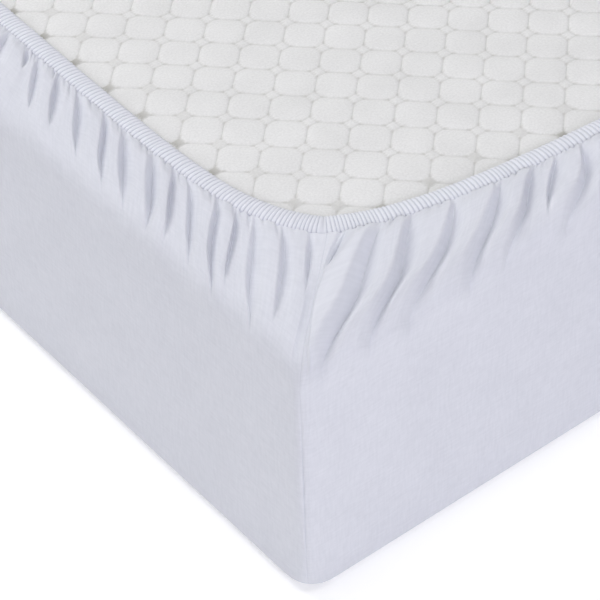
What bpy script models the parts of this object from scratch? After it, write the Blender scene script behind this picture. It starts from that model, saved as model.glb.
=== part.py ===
"""A gathered fitted sheet pulled over a mattress that lies with its underside up.

The footprint is centred on the origin and the part stands on z = 0. The short sides run along X and
the long sides along Y. All sizes are in metres, except in the tables, whose numbers are millimetres.

The sheet is one cloth: the panel that lies on the floor, four upright sides, and a skirt that turns
in over the mattress's upper edge and ends in a hem folded over elastic. The elastic draws the skirt
into slanting folds, which lean from the hem towards the nearest corner and die out at the edge.

Places along a side are distances from that side's corner. A fold is a trough with a ridge beside it,
and the surface is lofted through rings of stations that follow the troughs and the ridges.
"""

import math
import random
from collections import namedtuple

import bmesh
import bpy
from mathutils import Vector

MM = 0.001

# Mattress
MATTRESS_WIDTH = 1.350
MATTRESS_LENGTH = 1.900
MATTRESS_HEIGHT = 0.308
MATTRESS_CORNER_RADIUS = 0.026
MATTRESS_BOTTOM_RADIUS = 0.014
MATTRESS_TOP_RADIUS = 0.025
BEVEL_STEPS = 5

# Cloth
CLOTH = 0.0018
TOUCH_GAP = 0.0003
SIDE_GAP = 0.002
CORNER_RADIUS = 0.028
BOTTOM_RADIUS = 0.012
TOP_RADIUS = 0.016
EDGE_CLEARANCE = 0.0017
CORNER_STEPS = 6
EDGE_STEPS = 3

# Hem: a casing whose cloth turns under at the nose and runs back to the line of stitches. The folds
# stop a little before those stitches, and the hem crosses each corner seam at the corner inset.
HEM_WIDTH = 0.020
CORNER_INSET = 0.140
HEM_APPROACH = 0.006
TANGENT_STEP = 0.002

# Folds: where their tips lie on the rounded edge, and the spacing and lean of those that no view shows
SEAM_RIDGE = 0.006
FOLD_TIP_INSET = 0.012
RIDGE_PITCH = 0.047
FIRST_FOLD = 0.166
PITCH_SPREAD = 0.16
CORNER_LEAN = 0.120
LEAN_SPREAD = 0.10
TIP_CLEARANCE = 0.016
FOLD_SEED = 7

OUTER_WIDTH = MATTRESS_WIDTH + 2 * (SIDE_GAP + CLOTH)
OUTER_LENGTH = MATTRESS_LENGTH + 2 * (SIDE_GAP + CLOTH)
MATTRESS_FLOOR = CLOTH + TOUCH_GAP
MATTRESS_TOP = MATTRESS_FLOOR + MATTRESS_HEIGHT
SKIRT_LEVEL = MATTRESS_TOP + TOUCH_GAP + CLOTH

Side = namedtuple("Side", "name corner along length inset_start reach_start inset_middle inset_end reach_end")
Fold = namedtuple("Fold", "hem tip ridge")
Station = namedtuple("Station", "side hem tip lift")
SkirtRing = namedtuple("SkirtRing", "share lift")
HemPoint = namedtuple("HemPoint", "inward height")

# The hem's centre line: how far in it lies beside each corner and at the middle of the side, and how
# far the rounding at each corner reaches along the side.
SIDES = (
    Side("front", (-1, -1), (1, 0), OUTER_WIDTH, 85, 84, 69, 84, 64),
    Side("right", (1, -1), (0, 1), OUTER_LENGTH, 83, 60, 104, 80, 72),
    Side("back", (1, 1), (-1, 0), OUTER_WIDTH, 85, 70, 76, 81, 58),
    Side("left", (-1, 1), (0, -1), OUTER_LENGTH, 84, 76, 104, 87, 62),
)

# The folds beside the front left corner, along the front side and along the left side: where the
# trough leaves the hem, where it dies out at the edge, and how high the ridge beyond it stands.
FRONT_FOLDS = (
    Fold(hem=183, tip=22, ridge=11),
    Fold(hem=215, tip=82, ridge=10),
    Fold(hem=262, tip=132, ridge=10),
    Fold(hem=320, tip=201, ridge=9),
    Fold(hem=357, tip=250, ridge=7),
    Fold(hem=383, tip=300, ridge=7),
    Fold(hem=414, tip=330, ridge=8),
    Fold(hem=449, tip=388, ridge=8),
    Fold(hem=491, tip=440, ridge=7),
    Fold(hem=536, tip=498, ridge=8),
    Fold(hem=580, tip=552, ridge=7),
    Fold(hem=628, tip=612, ridge=7),
)
LEFT_FOLDS = (
    Fold(hem=157, tip=44, ridge=7),
    Fold(hem=191, tip=72, ridge=8),
    Fold(hem=212, tip=104, ridge=7),
    Fold(hem=234, tip=126, ridge=8),
    Fold(hem=277, tip=167, ridge=8),
    Fold(hem=299, tip=210, ridge=7),
    Fold(hem=334, tip=233, ridge=8),
    Fold(hem=382, tip=272, ridge=8),
    Fold(hem=417, tip=301, ridge=8),
    Fold(hem=466, tip=346, ridge=8),
    Fold(hem=503, tip=397, ridge=7),
    Fold(hem=541, tip=442, ridge=8),
    Fold(hem=561, tip=486, ridge=7),
    Fold(hem=598, tip=530, ridge=8),
    Fold(hem=640, tip=584, ridge=7),
    Fold(hem=683, tip=637, ridge=8),
    Fold(hem=728, tip=691, ridge=7),
    Fold(hem=771, tip=742, ridge=8),
    Fold(hem=817, tip=798, ridge=7),
    Fold(hem=860, tip=849, ridge=7),
    Fold(hem=907, tip=903, ridge=8),
)
RIDGE_RANGE = (7, 10)

# Across one fold, from its trough to the next: how far along, and how much of the ridge's height
FOLD_SECTION = ((0.0, 0.0), (0.22, 0.78), (0.52, 1.0), (0.84, 0.58))

# Along one fold, from the edge to the hem: how far along, and how much of the ridge's height
TIP_RING = SkirtRing(share=0.0, lift=0.0)
MIDDLE_RING = SkirtRing(share=0.5, lift=0.8)
HEAD_RING = SkirtRing(share=1.0, lift=0.9)

# The hem's section, from the line of stitches over the casing and back below it: millimetres inward,
# and above the mattress
HEM_SECTION = (
    HemPoint(inward=0, height=4.4),
    HemPoint(inward=8, height=6.0),
    HemPoint(inward=17.5, height=5.2),
    HemPoint(inward=20, height=2.8),
    HemPoint(inward=17.5, height=0.3),
    HemPoint(inward=1, height=0.3),
)

SHEET_BLUE_WHITE = (0.66, 0.69, 0.78, 1.0)
SHEET_ROUGHNESS = 0.85
MATTRESS_WHITE = (0.72, 0.72, 0.70, 1.0)
MATTRESS_ROUGHNESS = 0.9


def clear_scene():
    for obj in list(bpy.data.objects):
        bpy.data.objects.remove(obj, do_unlink=True)


def make_material(name, colour, roughness):
    """A plain fabric, with no metal in it."""
    material = bpy.data.materials.new(name)
    material.use_nodes = True
    shader = material.node_tree.nodes["Principled BSDF"]
    shader.inputs["Base Color"].default_value = colour
    shader.inputs["Roughness"].default_value = roughness
    shader.inputs["Metallic"].default_value = 0.0
    return material


def add_object(collection, name, bm, material):
    """Turn the bmesh into an object of that name, and free it."""
    mesh = bpy.data.meshes.new(name)
    bm.to_mesh(mesh)
    bm.free()
    mesh.materials.append(material)
    obj = bpy.data.objects.new(name, mesh)
    collection.objects.link(obj)
    return obj


def edges_where(bm, test):
    """The edges whose two ends both pass the test."""
    return [edge for edge in bm.edges if all(test(vert.co) for vert in edge.verts)]


def build_mattress(collection, material):
    """A plain rounded block, which the cloth clears at every edge."""
    bm = bmesh.new()
    bmesh.ops.create_cube(bm, size=1.0)
    bmesh.ops.scale(bm, vec=(MATTRESS_WIDTH, MATTRESS_LENGTH, MATTRESS_HEIGHT), verts=bm.verts)
    bmesh.ops.translate(bm, vec=(0, 0, MATTRESS_FLOOR + MATTRESS_HEIGHT / 2), verts=bm.verts)
    upright = [edge for edge in bm.edges if abs(edge.verts[0].co.z - edge.verts[1].co.z) > MM]
    bmesh.ops.bevel(
        bm, geom=upright, offset=MATTRESS_CORNER_RADIUS, segments=BEVEL_STEPS, profile=0.5, affect="EDGES"
    )
    for level, radius in ((MATTRESS_FLOOR, MATTRESS_BOTTOM_RADIUS), (MATTRESS_TOP, MATTRESS_TOP_RADIUS)):
        rim = edges_where(bm, lambda co, level=level: abs(co.z - level) < MM)
        bmesh.ops.bevel(bm, geom=rim, offset=radius, segments=BEVEL_STEPS, profile=0.5, affect="EDGES")
    return add_object(collection, "mattress", bm, material)


def side_point(side, distance, inset):
    """A point on the level of the floor, so far along a side and so far in from it."""
    start = Vector((side.corner[0] * OUTER_WIDTH / 2, side.corner[1] * OUTER_LENGTH / 2, 0))
    along = Vector((side.along[0], side.along[1], 0))
    inward = Vector((-along.y, along.x, 0))
    return start + along * distance + inward * inset


def outline_point(side, distance, inset):
    """As side_point, with the outline's corners rounded."""
    radius = CORNER_RADIUS
    from_end = min(distance, side.length - distance)
    if from_end >= radius:
        return side_point(side, distance, inset)
    turn = (math.pi / 4) * (1 - from_end / radius)
    reach = radius - inset
    along = radius - reach * math.sin(turn)
    across = radius - reach * math.cos(turn)
    return side_point(side, along if distance <= side.length / 2 else side.length - along, across)


def hem_inset(side, distance):
    """How far in from the side the hem's centre line lies."""
    starts = distance <= side.length / 2
    beside, reach = (side.inset_start, side.reach_start) if starts else (side.inset_end, side.reach_end)
    from_corner = (distance if starts else side.length - distance) - CORNER_INSET
    share = max(0.0, from_corner) / (side.length / 2 - CORNER_INSET)
    ease = (1 - math.cos(math.pi * min(1.0, share))) / 2
    rounding = (CORNER_INSET - beside * MM) * math.exp(-from_corner / (reach * MM))
    return beside * MM + (side.inset_middle - beside) * MM * ease + rounding


def hem_point(side, distance, inward=0.0):
    """A point of the hem's centre line, or one so far inward of it, square to the line."""
    here = side_point(side, distance, hem_inset(side, distance))
    if not inward:
        return here
    before = side_point(side, distance - TANGENT_STEP, hem_inset(side, distance - TANGENT_STEP))
    after = side_point(side, distance + TANGENT_STEP, hem_inset(side, distance + TANGENT_STEP))
    if min(distance, side.length - distance) <= CORNER_INSET:
        normal = side_point(side, distance, 1.0) - side_point(side, distance, 0.0)
        ahead = side_point(side, 1.0, 0) - side_point(side, 0.0, 0)
        normal = normal + (ahead if distance < side.length / 2 else -ahead)
    else:
        run = after - before
        normal = Vector((-run.y, run.x, 0))
    return here + normal.normalized() * inward


def made_up_folds(side, draw):
    """Folds for half a side that no view shows, spaced and leaning by the same rule as the seen ones."""
    folds = []
    half = side.length / 2
    hem = FIRST_FOLD
    while hem < half - RIDGE_PITCH / 3:
        lean = CORNER_LEAN * (half - hem) / (half - FIRST_FOLD)
        lean *= 1 + draw.uniform(-LEAN_SPREAD, LEAN_SPREAD)
        tip = max(hem - lean, (folds[-1].tip * MM if folds else 0) + TIP_CLEARANCE)
        folds.append(Fold(hem / MM, tip / MM, draw.uniform(*RIDGE_RANGE)))
        hem += RIDGE_PITCH * (1 + draw.uniform(-PITCH_SPREAD, PITCH_SPREAD))
    return folds


def folds_of_side(side, draw):
    """All the folds of a side in order, as metres from its first corner, with its seam at the start."""
    seen_first = FRONT_FOLDS if side.name == "front" else made_up_folds(side, draw)
    seen_last = LEFT_FOLDS if side.name == "left" else made_up_folds(side, draw)
    folds = [Fold(CORNER_INSET, 0.0, SEAM_RIDGE)]
    folds += [Fold(row.hem * MM, row.tip * MM, row.ridge * MM) for row in seen_first]
    folds += [
        Fold(side.length - row.hem * MM, side.length - row.tip * MM, row.ridge * MM)
        for row in reversed(seen_last)
    ]
    return folds


def fold_stations():
    """Stations round the whole skirt: the troughs, and the points of each fold's section between them."""
    draw = random.Random(FOLD_SEED)
    stations = []
    for side in SIDES:
        folds = folds_of_side(side, draw)
        seam_ahead = Fold(side.length - CORNER_INSET, side.length, 0.0)
        for fold, following in zip(folds, folds[1:] + [seam_ahead]):
            for share, lift in FOLD_SECTION:
                hem = fold.hem + (following.hem - fold.hem) * share
                tip = fold.tip + (following.tip - fold.tip) * share
                stations.append(Station(side, hem, tip, lift * fold.ridge))
    return stations


def outline_stations():
    """Plain stations: the arc of each corner, seen as two half arcs that meet on its seam."""
    stations = []
    half_steps = CORNER_STEPS // 2
    for side in SIDES:
        arc = [CORNER_RADIUS * step / half_steps for step in range(half_steps + 1)]
        places = arc + [side.length / 2] + [side.length - place for place in reversed(arc[1:])]
        stations += [Station(side, place, place, 0.0) for place in places]
    return stations


def outline_ring(bm, stations, inset, height):
    ring = []
    for station in stations:
        point = outline_point(station.side, station.tip, inset)
        ring.append(bm.verts.new((point.x, point.y, height)))
    return ring


def top_edge(inset):
    """The height of the rounded upper edge, so far in from the side."""
    return SKIRT_LEVEL + EDGE_CLEARANCE - TOP_RADIUS + math.sqrt(TOP_RADIUS**2 - (TOP_RADIUS - inset) ** 2)


def fold_ring(bm, stations, skirt_ring):
    """A ring of the skirt, at its share of the way from the edge to the stitches of the hem."""
    level = top_edge(FOLD_TIP_INSET) if skirt_ring == TIP_RING else SKIRT_LEVEL
    ring = []
    for station in stations:
        edge = outline_point(station.side, station.tip, FOLD_TIP_INSET)
        stitches = hem_point(station.side, station.hem, -HEM_WIDTH / 2 - HEM_APPROACH)
        point = edge.lerp(stitches, skirt_ring.share)
        ring.append(bm.verts.new((point.x, point.y, level + skirt_ring.lift * station.lift)))
    return ring


def hem_ring(bm, stations, section_point):
    ring = []
    for station in stations:
        point = hem_point(station.side, station.hem, section_point.inward * MM - HEM_WIDTH / 2)
        height = MATTRESS_TOP + section_point.height * MM
        ring.append(bm.verts.new((point.x, point.y, height)))
    return ring


def loft(bm, outer, inner):
    """Join two rings that have a vertex for each station of one list."""
    for index in range(len(outer)):
        ahead = (index + 1) % len(outer)
        bm.faces.new((outer[index], outer[ahead], inner[ahead], inner[index]))


def loft_unlike(bm, outer, outer_places, inner, inner_places):
    """Join two rings of unlike counts with triangles, stepping along whichever ring is behind."""
    i = j = 0
    while i < len(outer) or j < len(inner):
        next_outer = outer_places[i + 1] if i + 1 < len(outer) else 1.0
        next_inner = inner_places[j + 1] if j + 1 < len(inner) else 1.0
        here, there = outer[i % len(outer)], inner[j % len(inner)]
        if j == len(inner) or (i < len(outer) and next_outer <= next_inner):
            bm.faces.new((here, outer[(i + 1) % len(outer)], there))
            i += 1
        else:
            bm.faces.new((here, inner[(j + 1) % len(inner)], there))
            j += 1


def places_round(stations, place_of):
    """How far round the four sides each station lies, from 0 to 1, by the distance place_of gives."""
    places = []
    for station in stations:
        place, first, last = place_of(station)
        share = (place - first) / (last - first)
        places.append((SIDES.index(station.side) + min(1.0, max(0.0, share))) / len(SIDES))
    return places


def edge_place(station):
    return station.tip, 0.0, station.side.length


def hem_place(station):
    return station.hem, CORNER_INSET, station.side.length - CORNER_INSET


def build_sheet(collection, material):
    """The whole cloth as its outer surface, thickened towards the mattress."""
    bm = bmesh.new()
    plain = outline_stations()
    folded = fold_stations()
    troughs = folded[:: len(FOLD_SECTION)]

    rings = []
    for step in range(EDGE_STEPS + 1):
        angle = (math.pi / 2) * (1 - step / EDGE_STEPS)
        inset = BOTTOM_RADIUS * (1 - math.cos(angle))
        rings.append(outline_ring(bm, plain, inset, BOTTOM_RADIUS * (1 - math.sin(angle))))
    tip_angle = math.acos(1 - FOLD_TIP_INSET / TOP_RADIUS)
    for step in range(EDGE_STEPS):
        angle = tip_angle * step / EDGE_STEPS
        inset = TOP_RADIUS * (1 - math.cos(angle))
        rings.append(outline_ring(bm, plain, inset, top_edge(inset)))
    bm.faces.new(reversed(rings[0]))
    for outer, inner in zip(rings, rings[1:]):
        loft(bm, outer, inner)

    tips, middles, heads = (
        fold_ring(bm, folded, skirt_ring) for skirt_ring in (TIP_RING, MIDDLE_RING, HEAD_RING)
    )
    loft_unlike(bm, rings[-1], places_round(plain, edge_place), tips, places_round(folded, edge_place))
    loft(bm, tips, middles)
    loft(bm, middles, heads)

    casing = [hem_ring(bm, troughs, section_point) for section_point in HEM_SECTION]
    loft_unlike(bm, heads, places_round(folded, hem_place), casing[0], places_round(troughs, hem_place))
    for outer, inner in zip(casing, casing[1:]):
        loft(bm, outer, inner)

    sheet = add_object(collection, "sheet", bm, material)
    thickness = sheet.modifiers.new("cloth", "SOLIDIFY")
    thickness.thickness = CLOTH
    thickness.offset = -1.0
    return sheet


def build():
    clear_scene()
    collection = bpy.data.collections.new("fitted_sheet_on_mattress")
    bpy.context.scene.collection.children.link(collection)
    build_mattress(collection, make_material("quilted_ticking", MATTRESS_WHITE, MATTRESS_ROUGHNESS))
    build_sheet(collection, make_material("plain_woven_cotton", SHEET_BLUE_WHITE, SHEET_ROUGHNESS))


build()
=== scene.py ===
"""The finished look of a gathered fitted sheet on a mattress that lies with its underside up.

The frame gives the plain solids, centred on the origin and standing on z = 0. Each side is walked from
its corner with the mattress on the left: front, right, back, left. The sheet's skirt turns in over the
upper edge, lies on the quilted panel in slanting folds, and ends in a ribbed casing over elastic.

All sizes are in metres, except in the tables of hem shapes, folds and sections, which are in millimetres.
"""

import logging
import math
import random
from dataclasses import dataclass, field, replace
from enum import Enum

import bmesh
import bpy
import numpy as np
from mathutils import Matrix, Vector


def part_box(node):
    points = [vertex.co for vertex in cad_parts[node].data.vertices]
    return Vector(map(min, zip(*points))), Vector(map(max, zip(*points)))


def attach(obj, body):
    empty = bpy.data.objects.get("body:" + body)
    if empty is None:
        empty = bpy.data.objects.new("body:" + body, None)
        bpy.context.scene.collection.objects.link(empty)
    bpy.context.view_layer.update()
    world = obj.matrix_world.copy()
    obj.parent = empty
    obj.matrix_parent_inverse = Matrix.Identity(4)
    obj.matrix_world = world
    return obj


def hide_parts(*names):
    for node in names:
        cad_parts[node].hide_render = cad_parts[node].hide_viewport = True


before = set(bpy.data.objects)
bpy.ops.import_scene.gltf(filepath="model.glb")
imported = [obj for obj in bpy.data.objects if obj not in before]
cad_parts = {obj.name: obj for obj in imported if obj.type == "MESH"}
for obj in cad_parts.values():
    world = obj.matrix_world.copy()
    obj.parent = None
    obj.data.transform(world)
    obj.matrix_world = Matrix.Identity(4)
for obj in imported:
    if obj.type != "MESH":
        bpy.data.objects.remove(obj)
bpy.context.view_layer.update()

LOG = logging.getLogger("fitted_sheet")

MM = 0.001
NOTHING = 1e-12  # least length that a vector is divided by
CLOTH_MAP = "cloth"
# Name of the vertex value of painted shade, which mixes a vertex's colour towards a shadow colour
PAINTED_SHADE = "groove"


class Held(Enum):
    """How the cloth is held, in the frame's words."""

    STRETCHED = "stretched"


class SideName(Enum):
    """The sides, in the order of the walk."""

    FRONT = "front"
    RIGHT = "right"
    BACK = "back"
    LEFT = "left"


class Slot(Enum):
    """The material slots that the record names."""

    CLOTH = "sheet_cloth"
    TICKING = "mattress_ticking"


# Shared helpers


def smooth_step(value: np.ndarray) -> np.ndarray:
    """Ease from 0 to 1 as the value goes from 0 to 1, flat outside."""
    clipped = np.clip(value, 0.0, 1.0)
    return clipped * clipped * (3.0 - 2.0 * clipped)


def unit(vectors: np.ndarray) -> np.ndarray:
    """Scale each vector of the last axis to length one."""
    length = np.linalg.norm(vectors, axis=-1, keepdims=True)
    return vectors / np.maximum(length, NOTHING)


def turned_left(vectors: np.ndarray) -> np.ndarray:
    """Turn plan vectors a quarter turn to the left."""
    return np.stack((-vectors[..., 1], vectors[..., 0]), axis=-1)


def row_distances(points: np.ndarray) -> np.ndarray:
    """Mean distance of each row of points from the first row, along the surface."""
    steps = np.linalg.norm(np.diff(points, axis=0), axis=-1).mean(axis=1)
    return np.concatenate(([0.0], np.cumsum(steps)))


def added(name: str, data: bpy.types.ID) -> bpy.types.Object:
    """Make an object of a mesh, lamp or camera, and link it to the scene."""
    made = bpy.data.objects.new(name, data)
    bpy.context.scene.collection.objects.link(made)
    return made


@dataclass(frozen=True)
class Ripples:
    """Soft unevenness: a few long waves with seeded directions and phases.

    Attributes:
        seed: Seed of the random draw.
        wavelength: Typical length of a wave.
        count: How many waves are added.
        spread: Least and greatest length of a wave, as shares of the typical one.
    """

    seed: int
    wavelength: float
    count: int = 7
    spread: tuple[float, float] = (0.6, 1.6)

    def at(self, across: np.ndarray, along: np.ndarray | float) -> np.ndarray:
        """Sample the waves.

        Args:
            across: First coordinate of each place.
            along: Second coordinate of each place.

        Returns:
            A value near -1 to 1 for each place.
        """
        draw = random.Random(self.seed)
        total = np.zeros(np.broadcast(across, along).shape)
        for _ in range(self.count):
            heading = draw.uniform(0.0, math.tau)
            phase = draw.uniform(0.0, math.tau)
            rate = math.tau / (self.wavelength * draw.uniform(*self.spread))
            run = across * math.cos(heading) + along * math.sin(heading)
            total = total + np.sin(run * rate + phase)
        return total / math.sqrt(self.count)


@dataclass
class Fabric:
    """A mesh in the making: points, their places on the flat cloth, and faces.

    Attributes:
        name: Name of the piece.
        points: One row of three coordinates for each vertex.
        places: Where each vertex lies on the flat cloth, two coordinates.
        quads: Faces with four corners, as an array of vertex numbers.
        grooves: How much painted shade each vertex gets, from 0 to 1, in grooves, troughs and seams.
        others: Faces with any other number of corners.
        round_length: Length after which the first place coordinate starts again, or 0.
    """

    name: str
    points: np.ndarray
    places: np.ndarray
    quads: np.ndarray
    grooves: np.ndarray
    others: list[list[int]] = field(default_factory=list)
    round_length: float = 0.0

    def piece(self, material: bpy.types.Material) -> bpy.types.Object:
        """Make the object, smooth, with its map of the flat cloth.

        Args:
            material: The piece's finish.

        Returns:
            The new object, linked to the scene.
        """
        mesh = bpy.data.meshes.new(self.name)
        mesh.from_pydata(self.points.tolist(), [], self.quads.tolist() + self.others)
        mesh.materials.append(material)
        corner_vertex = np.empty(len(mesh.loops), dtype=np.int32)
        mesh.loops.foreach_get("vertex_index", corner_vertex)
        sizes = np.empty(len(mesh.polygons), dtype=np.int32)
        mesh.polygons.foreach_get("loop_total", sizes)
        corner_place = self.places[corner_vertex]
        if self.round_length:
            starts = np.concatenate(([0], np.cumsum(sizes)[:-1]))
            highest = np.repeat(np.maximum.reduceat(corner_place[:, 0], starts), sizes)
            wrapped = highest - corner_place[:, 0] > self.round_length / 2
            corner_place[wrapped, 0] += self.round_length
        layer = mesh.uv_layers.new(name=CLOTH_MAP)
        layer.uv.foreach_set("vector", corner_place.astype(np.float32).ravel())
        # Painted shade: each vertex's share of the shadow colour
        depth = mesh.attributes.new(PAINTED_SHADE, "FLOAT", "POINT")
        depth.data.foreach_set("value", self.grooves.astype(np.float32).ravel())
        mesh.shade_smooth()
        mesh.validate()
        return added(self.name, mesh)


def grid_faces(rows: int, columns: int, first: int = 0, closed: bool = True) -> np.ndarray:
    """Number the quads of a grid of vertices stored row by row.

    Args:
        rows: Rows of vertices.
        columns: Vertices in each row.
        first: Number of the grid's first vertex.
        closed: Whether the last column joins the first.

    Returns:
        An array of quads, wound so that they face out when rows go up and columns go round to the left.
    """
    spans = columns if closed else columns - 1
    row = np.arange(rows - 1)[:, None] * columns
    column = np.arange(spans)[None, :]
    ahead = (column + 1) % columns
    quads = np.stack((row + column, row + ahead, row + columns + ahead, row + columns + column), axis=-1)
    return quads.reshape(-1, 4) + first


# Footprint and hem line


@dataclass(frozen=True)
class HemShape:
    """How far in from one side the hem's centre line lies, in millimetres.

    Attributes:
        start: Inset beside the side's first corner.
        start_reach: How far the first corner's rounding reaches along the side.
        middle: Inset at the middle of the side.
        end: Inset beside the side's last corner.
        end_reach: How far the last corner's rounding reaches.
        casing: Width of the casing along this side.
    """

    start: float
    start_reach: float
    middle: float
    end: float
    end_reach: float
    casing: float


@dataclass(frozen=True)
class Side:
    """One side of the footprint, walked with the mattress on the left.

    Attributes:
        name: The side's name.
        corner: The side's first corner.
        along: Direction of the walk.
        length: Distance between the sharp corners.
        hem: The hem's course beside it.
    """

    name: SideName
    corner: tuple[float, float]
    along: tuple[float, float]
    length: float
    hem: HemShape

    def inward(self) -> np.ndarray:
        """Direction from the side to the middle of the mattress."""
        return turned_left(np.array(self.along))

    def point(self, distance: np.ndarray, inset: np.ndarray) -> np.ndarray:
        """Points so far along the side and so far in from it."""
        ahead = np.asarray(distance)[..., None] * np.array(self.along)
        return np.array(self.corner) + ahead + np.asarray(inset)[..., None] * self.inward()

    def hem_inset(self, distance: np.ndarray, corner_inset: float) -> np.ndarray:
        """How far in the hem's centre line lies.

        Args:
            distance: Distances from the side's first corner.
            corner_inset: Where the line crosses both corner seams.

        Returns:
            The inset at each distance.
        """
        starts = distance <= self.length / 2
        beside = np.where(starts, self.hem.start, self.hem.end) * MM
        reach = np.where(starts, self.hem.start_reach, self.hem.end_reach) * MM
        from_corner = np.maximum(np.minimum(distance, self.length - distance) - corner_inset, 0.0)
        share = np.clip(from_corner / (self.length / 2 - corner_inset), 0.0, 1.0)
        ease = (1.0 - np.cos(math.pi * share)) / 2
        rounding = (corner_inset - beside) * np.exp(-from_corner / reach)
        return beside + (self.hem.middle * MM - beside) * ease + rounding


@dataclass(frozen=True)
class Footprint:
    """The upright outline of the covered mattress, with rounded corners.

    Attributes:
        sides: The four sides in order.
        corner_radius: Radius of the upright corners, outside the cloth.
    """

    sides: tuple[Side, ...]
    corner_radius: float = 0.012

    @property
    def length(self) -> float:
        """Distance round the four sharp corners."""
        return sum(side.length for side in self.sides)

    def start(self, index: int) -> float:
        """Distance round the outline at which a side starts."""
        return sum(side.length for side in self.sides[:index])

    def edge(self, places: np.ndarray) -> tuple[np.ndarray, np.ndarray]:
        """Points of the outline and the directions it faces.

        Args:
            places: Distances round the sharp outline, from the front left corner.

        Returns:
            Plan points, and plan directions pointing out of the mattress.
        """
        places = np.mod(places, self.length)
        points = np.zeros(places.shape + (2,))
        outward = np.zeros(places.shape + (2,))
        for index, side in enumerate(self.sides):
            distance = places - self.start(index)
            here = (distance >= 0) & (distance < side.length)
            near_start = distance < side.length / 2
            from_end = np.where(near_start, distance, side.length - distance)
            turn = (math.pi / 4) * np.clip(1.0 - from_end / self.corner_radius, 0.0, 1.0)
            way = np.where(near_start, -1.0, 1.0)
            along, inward = np.array(side.along), side.inward()
            facing = -inward * np.cos(turn)[..., None] + along * (way * np.sin(turn))[..., None]
            anchor = np.clip(distance, self.corner_radius, side.length - self.corner_radius)
            centre = side.point(anchor, np.full_like(anchor, self.corner_radius))
            found = centre + facing * self.corner_radius
            points[here], outward[here] = found[here], facing[here]
        return points, outward

    def inset(self, points: np.ndarray) -> np.ndarray:
        """How far in from the nearest side each plan point lies."""
        insets = [(points - np.array(side.corner)) @ side.inward() for side in self.sides]
        return np.min(insets, axis=0)


class HemLine:
    """The closed centre line of the hem, measured from the front left corner seam.

    Places on it are distances along the sides with the corner stretches left out, and lengths are
    real lengths of the curve.
    """

    def __init__(
        self,
        footprint: Footprint,
        corner_inset: float = 0.1396,
        corner_blend: float = 0.09,
        corner_extra: float = 0.0022,
        step: float = 0.002,
        reach: int = 3,
    ) -> None:
        """Sample the line.

        Args:
            footprint: The outline that it runs inside.
            corner_inset: Where it crosses the corner seams, in from both sides.
            corner_blend: How far from a corner seam the casing takes its side's own width.
            corner_extra: How much wider half the casing is at a corner seam.
            step: Spacing of the samples.
            reach: How many samples away its direction is read, both ways.
        """
        self.footprint = footprint
        self.corner_inset = corner_inset
        self.corner_blend = corner_blend
        self.corner_extra = corner_extra
        places, points = [], []
        for index, side in enumerate(footprint.sides):
            spans = round(self.span(side) / step)
            distance = np.linspace(corner_inset, side.length - corner_inset, spans, endpoint=False)
            points.append(side.point(distance, side.hem_inset(distance, corner_inset)))
            places.append(distance - corner_inset + self.start(index))
        self.places = np.concatenate(places)
        self.points = np.concatenate(points)
        run = np.roll(self.points, -reach, axis=0) - np.roll(self.points, reach, axis=0)
        self.inward = unit(turned_left(run))
        steps = np.linalg.norm(np.roll(self.points, -1, axis=0) - self.points, axis=1)
        self.round_length = float(steps.sum())
        self.round_places = self.start(len(footprint.sides))
        self.all_places = np.append(self.places, self.round_places)
        self.all_lengths = np.append(np.concatenate(([0.0], np.cumsum(steps)[:-1])), self.round_length)

    def span(self, side: Side) -> float:
        """How much of a side's length the line covers between its corner seams."""
        return side.length - 2 * self.corner_inset

    def start(self, index: int) -> float:
        """Place of the corner seam at which a side's stretch starts."""
        return sum(self.span(side) for side in self.footprint.sides[:index])

    def read(self, values: np.ndarray, places: np.ndarray) -> np.ndarray:
        """Read sampled plan values between the samples."""
        return np.stack(
            [np.interp(places, self.places, column, period=self.round_places) for column in values.T], axis=-1
        )

    def inward_at(self, places: np.ndarray) -> np.ndarray:
        """Plan directions that point inward from the line."""
        return unit(self.read(self.inward, places))

    def at(self, places: np.ndarray, inward: float | np.ndarray = 0.0) -> np.ndarray:
        """Plan points of the line, or so far inward of it."""
        return self.read(self.points, places) + self.inward_at(places) * np.asarray(inward)[..., None]

    def half_width(self, places: np.ndarray) -> np.ndarray:
        """Half the casing's width at each place."""
        knots, widths = [], []
        for index, side in enumerate(self.footprint.sides):
            start, stop = self.start(index), self.start(index + 1)
            own = side.hem.casing * MM / 2
            previous = self.footprint.sides[index - 1].hem.casing * MM / 2
            knots += [start, start + self.corner_blend, stop - self.corner_blend]
            widths += [(own + previous) / 2 + self.corner_extra, own, own]
        return np.interp(places, knots, widths, period=self.round_places)

    def stitches(self, places: np.ndarray) -> np.ndarray:
        """Plan points of the stitch line, on the outer side of the casing."""
        return self.at(places, -self.half_width(places))

    def place_beside(self, index: int, distances: np.ndarray) -> np.ndarray:
        """Places at which the stitch line passes these distances along a side."""
        side = self.footprint.sides[index]
        places = np.linspace(self.start(index), self.start(index + 1), len(self.places))
        passed = (self.stitches(places) - np.array(side.corner)) @ np.array(side.along)
        return np.interp(distances, passed, places)

    def length_at(self, places: np.ndarray) -> np.ndarray:
        """Real length of the curve up to each place."""
        turns = np.floor(places / self.round_places)
        within = np.interp(places - turns * self.round_places, self.all_places, self.all_lengths)
        return within + turns * self.round_length

    def place_at(self, lengths: np.ndarray) -> np.ndarray:
        """The place at each real length of the curve, the inverse of length_at."""
        return np.interp(lengths, self.all_lengths, self.all_places)


# Folds of the skirt


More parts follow.
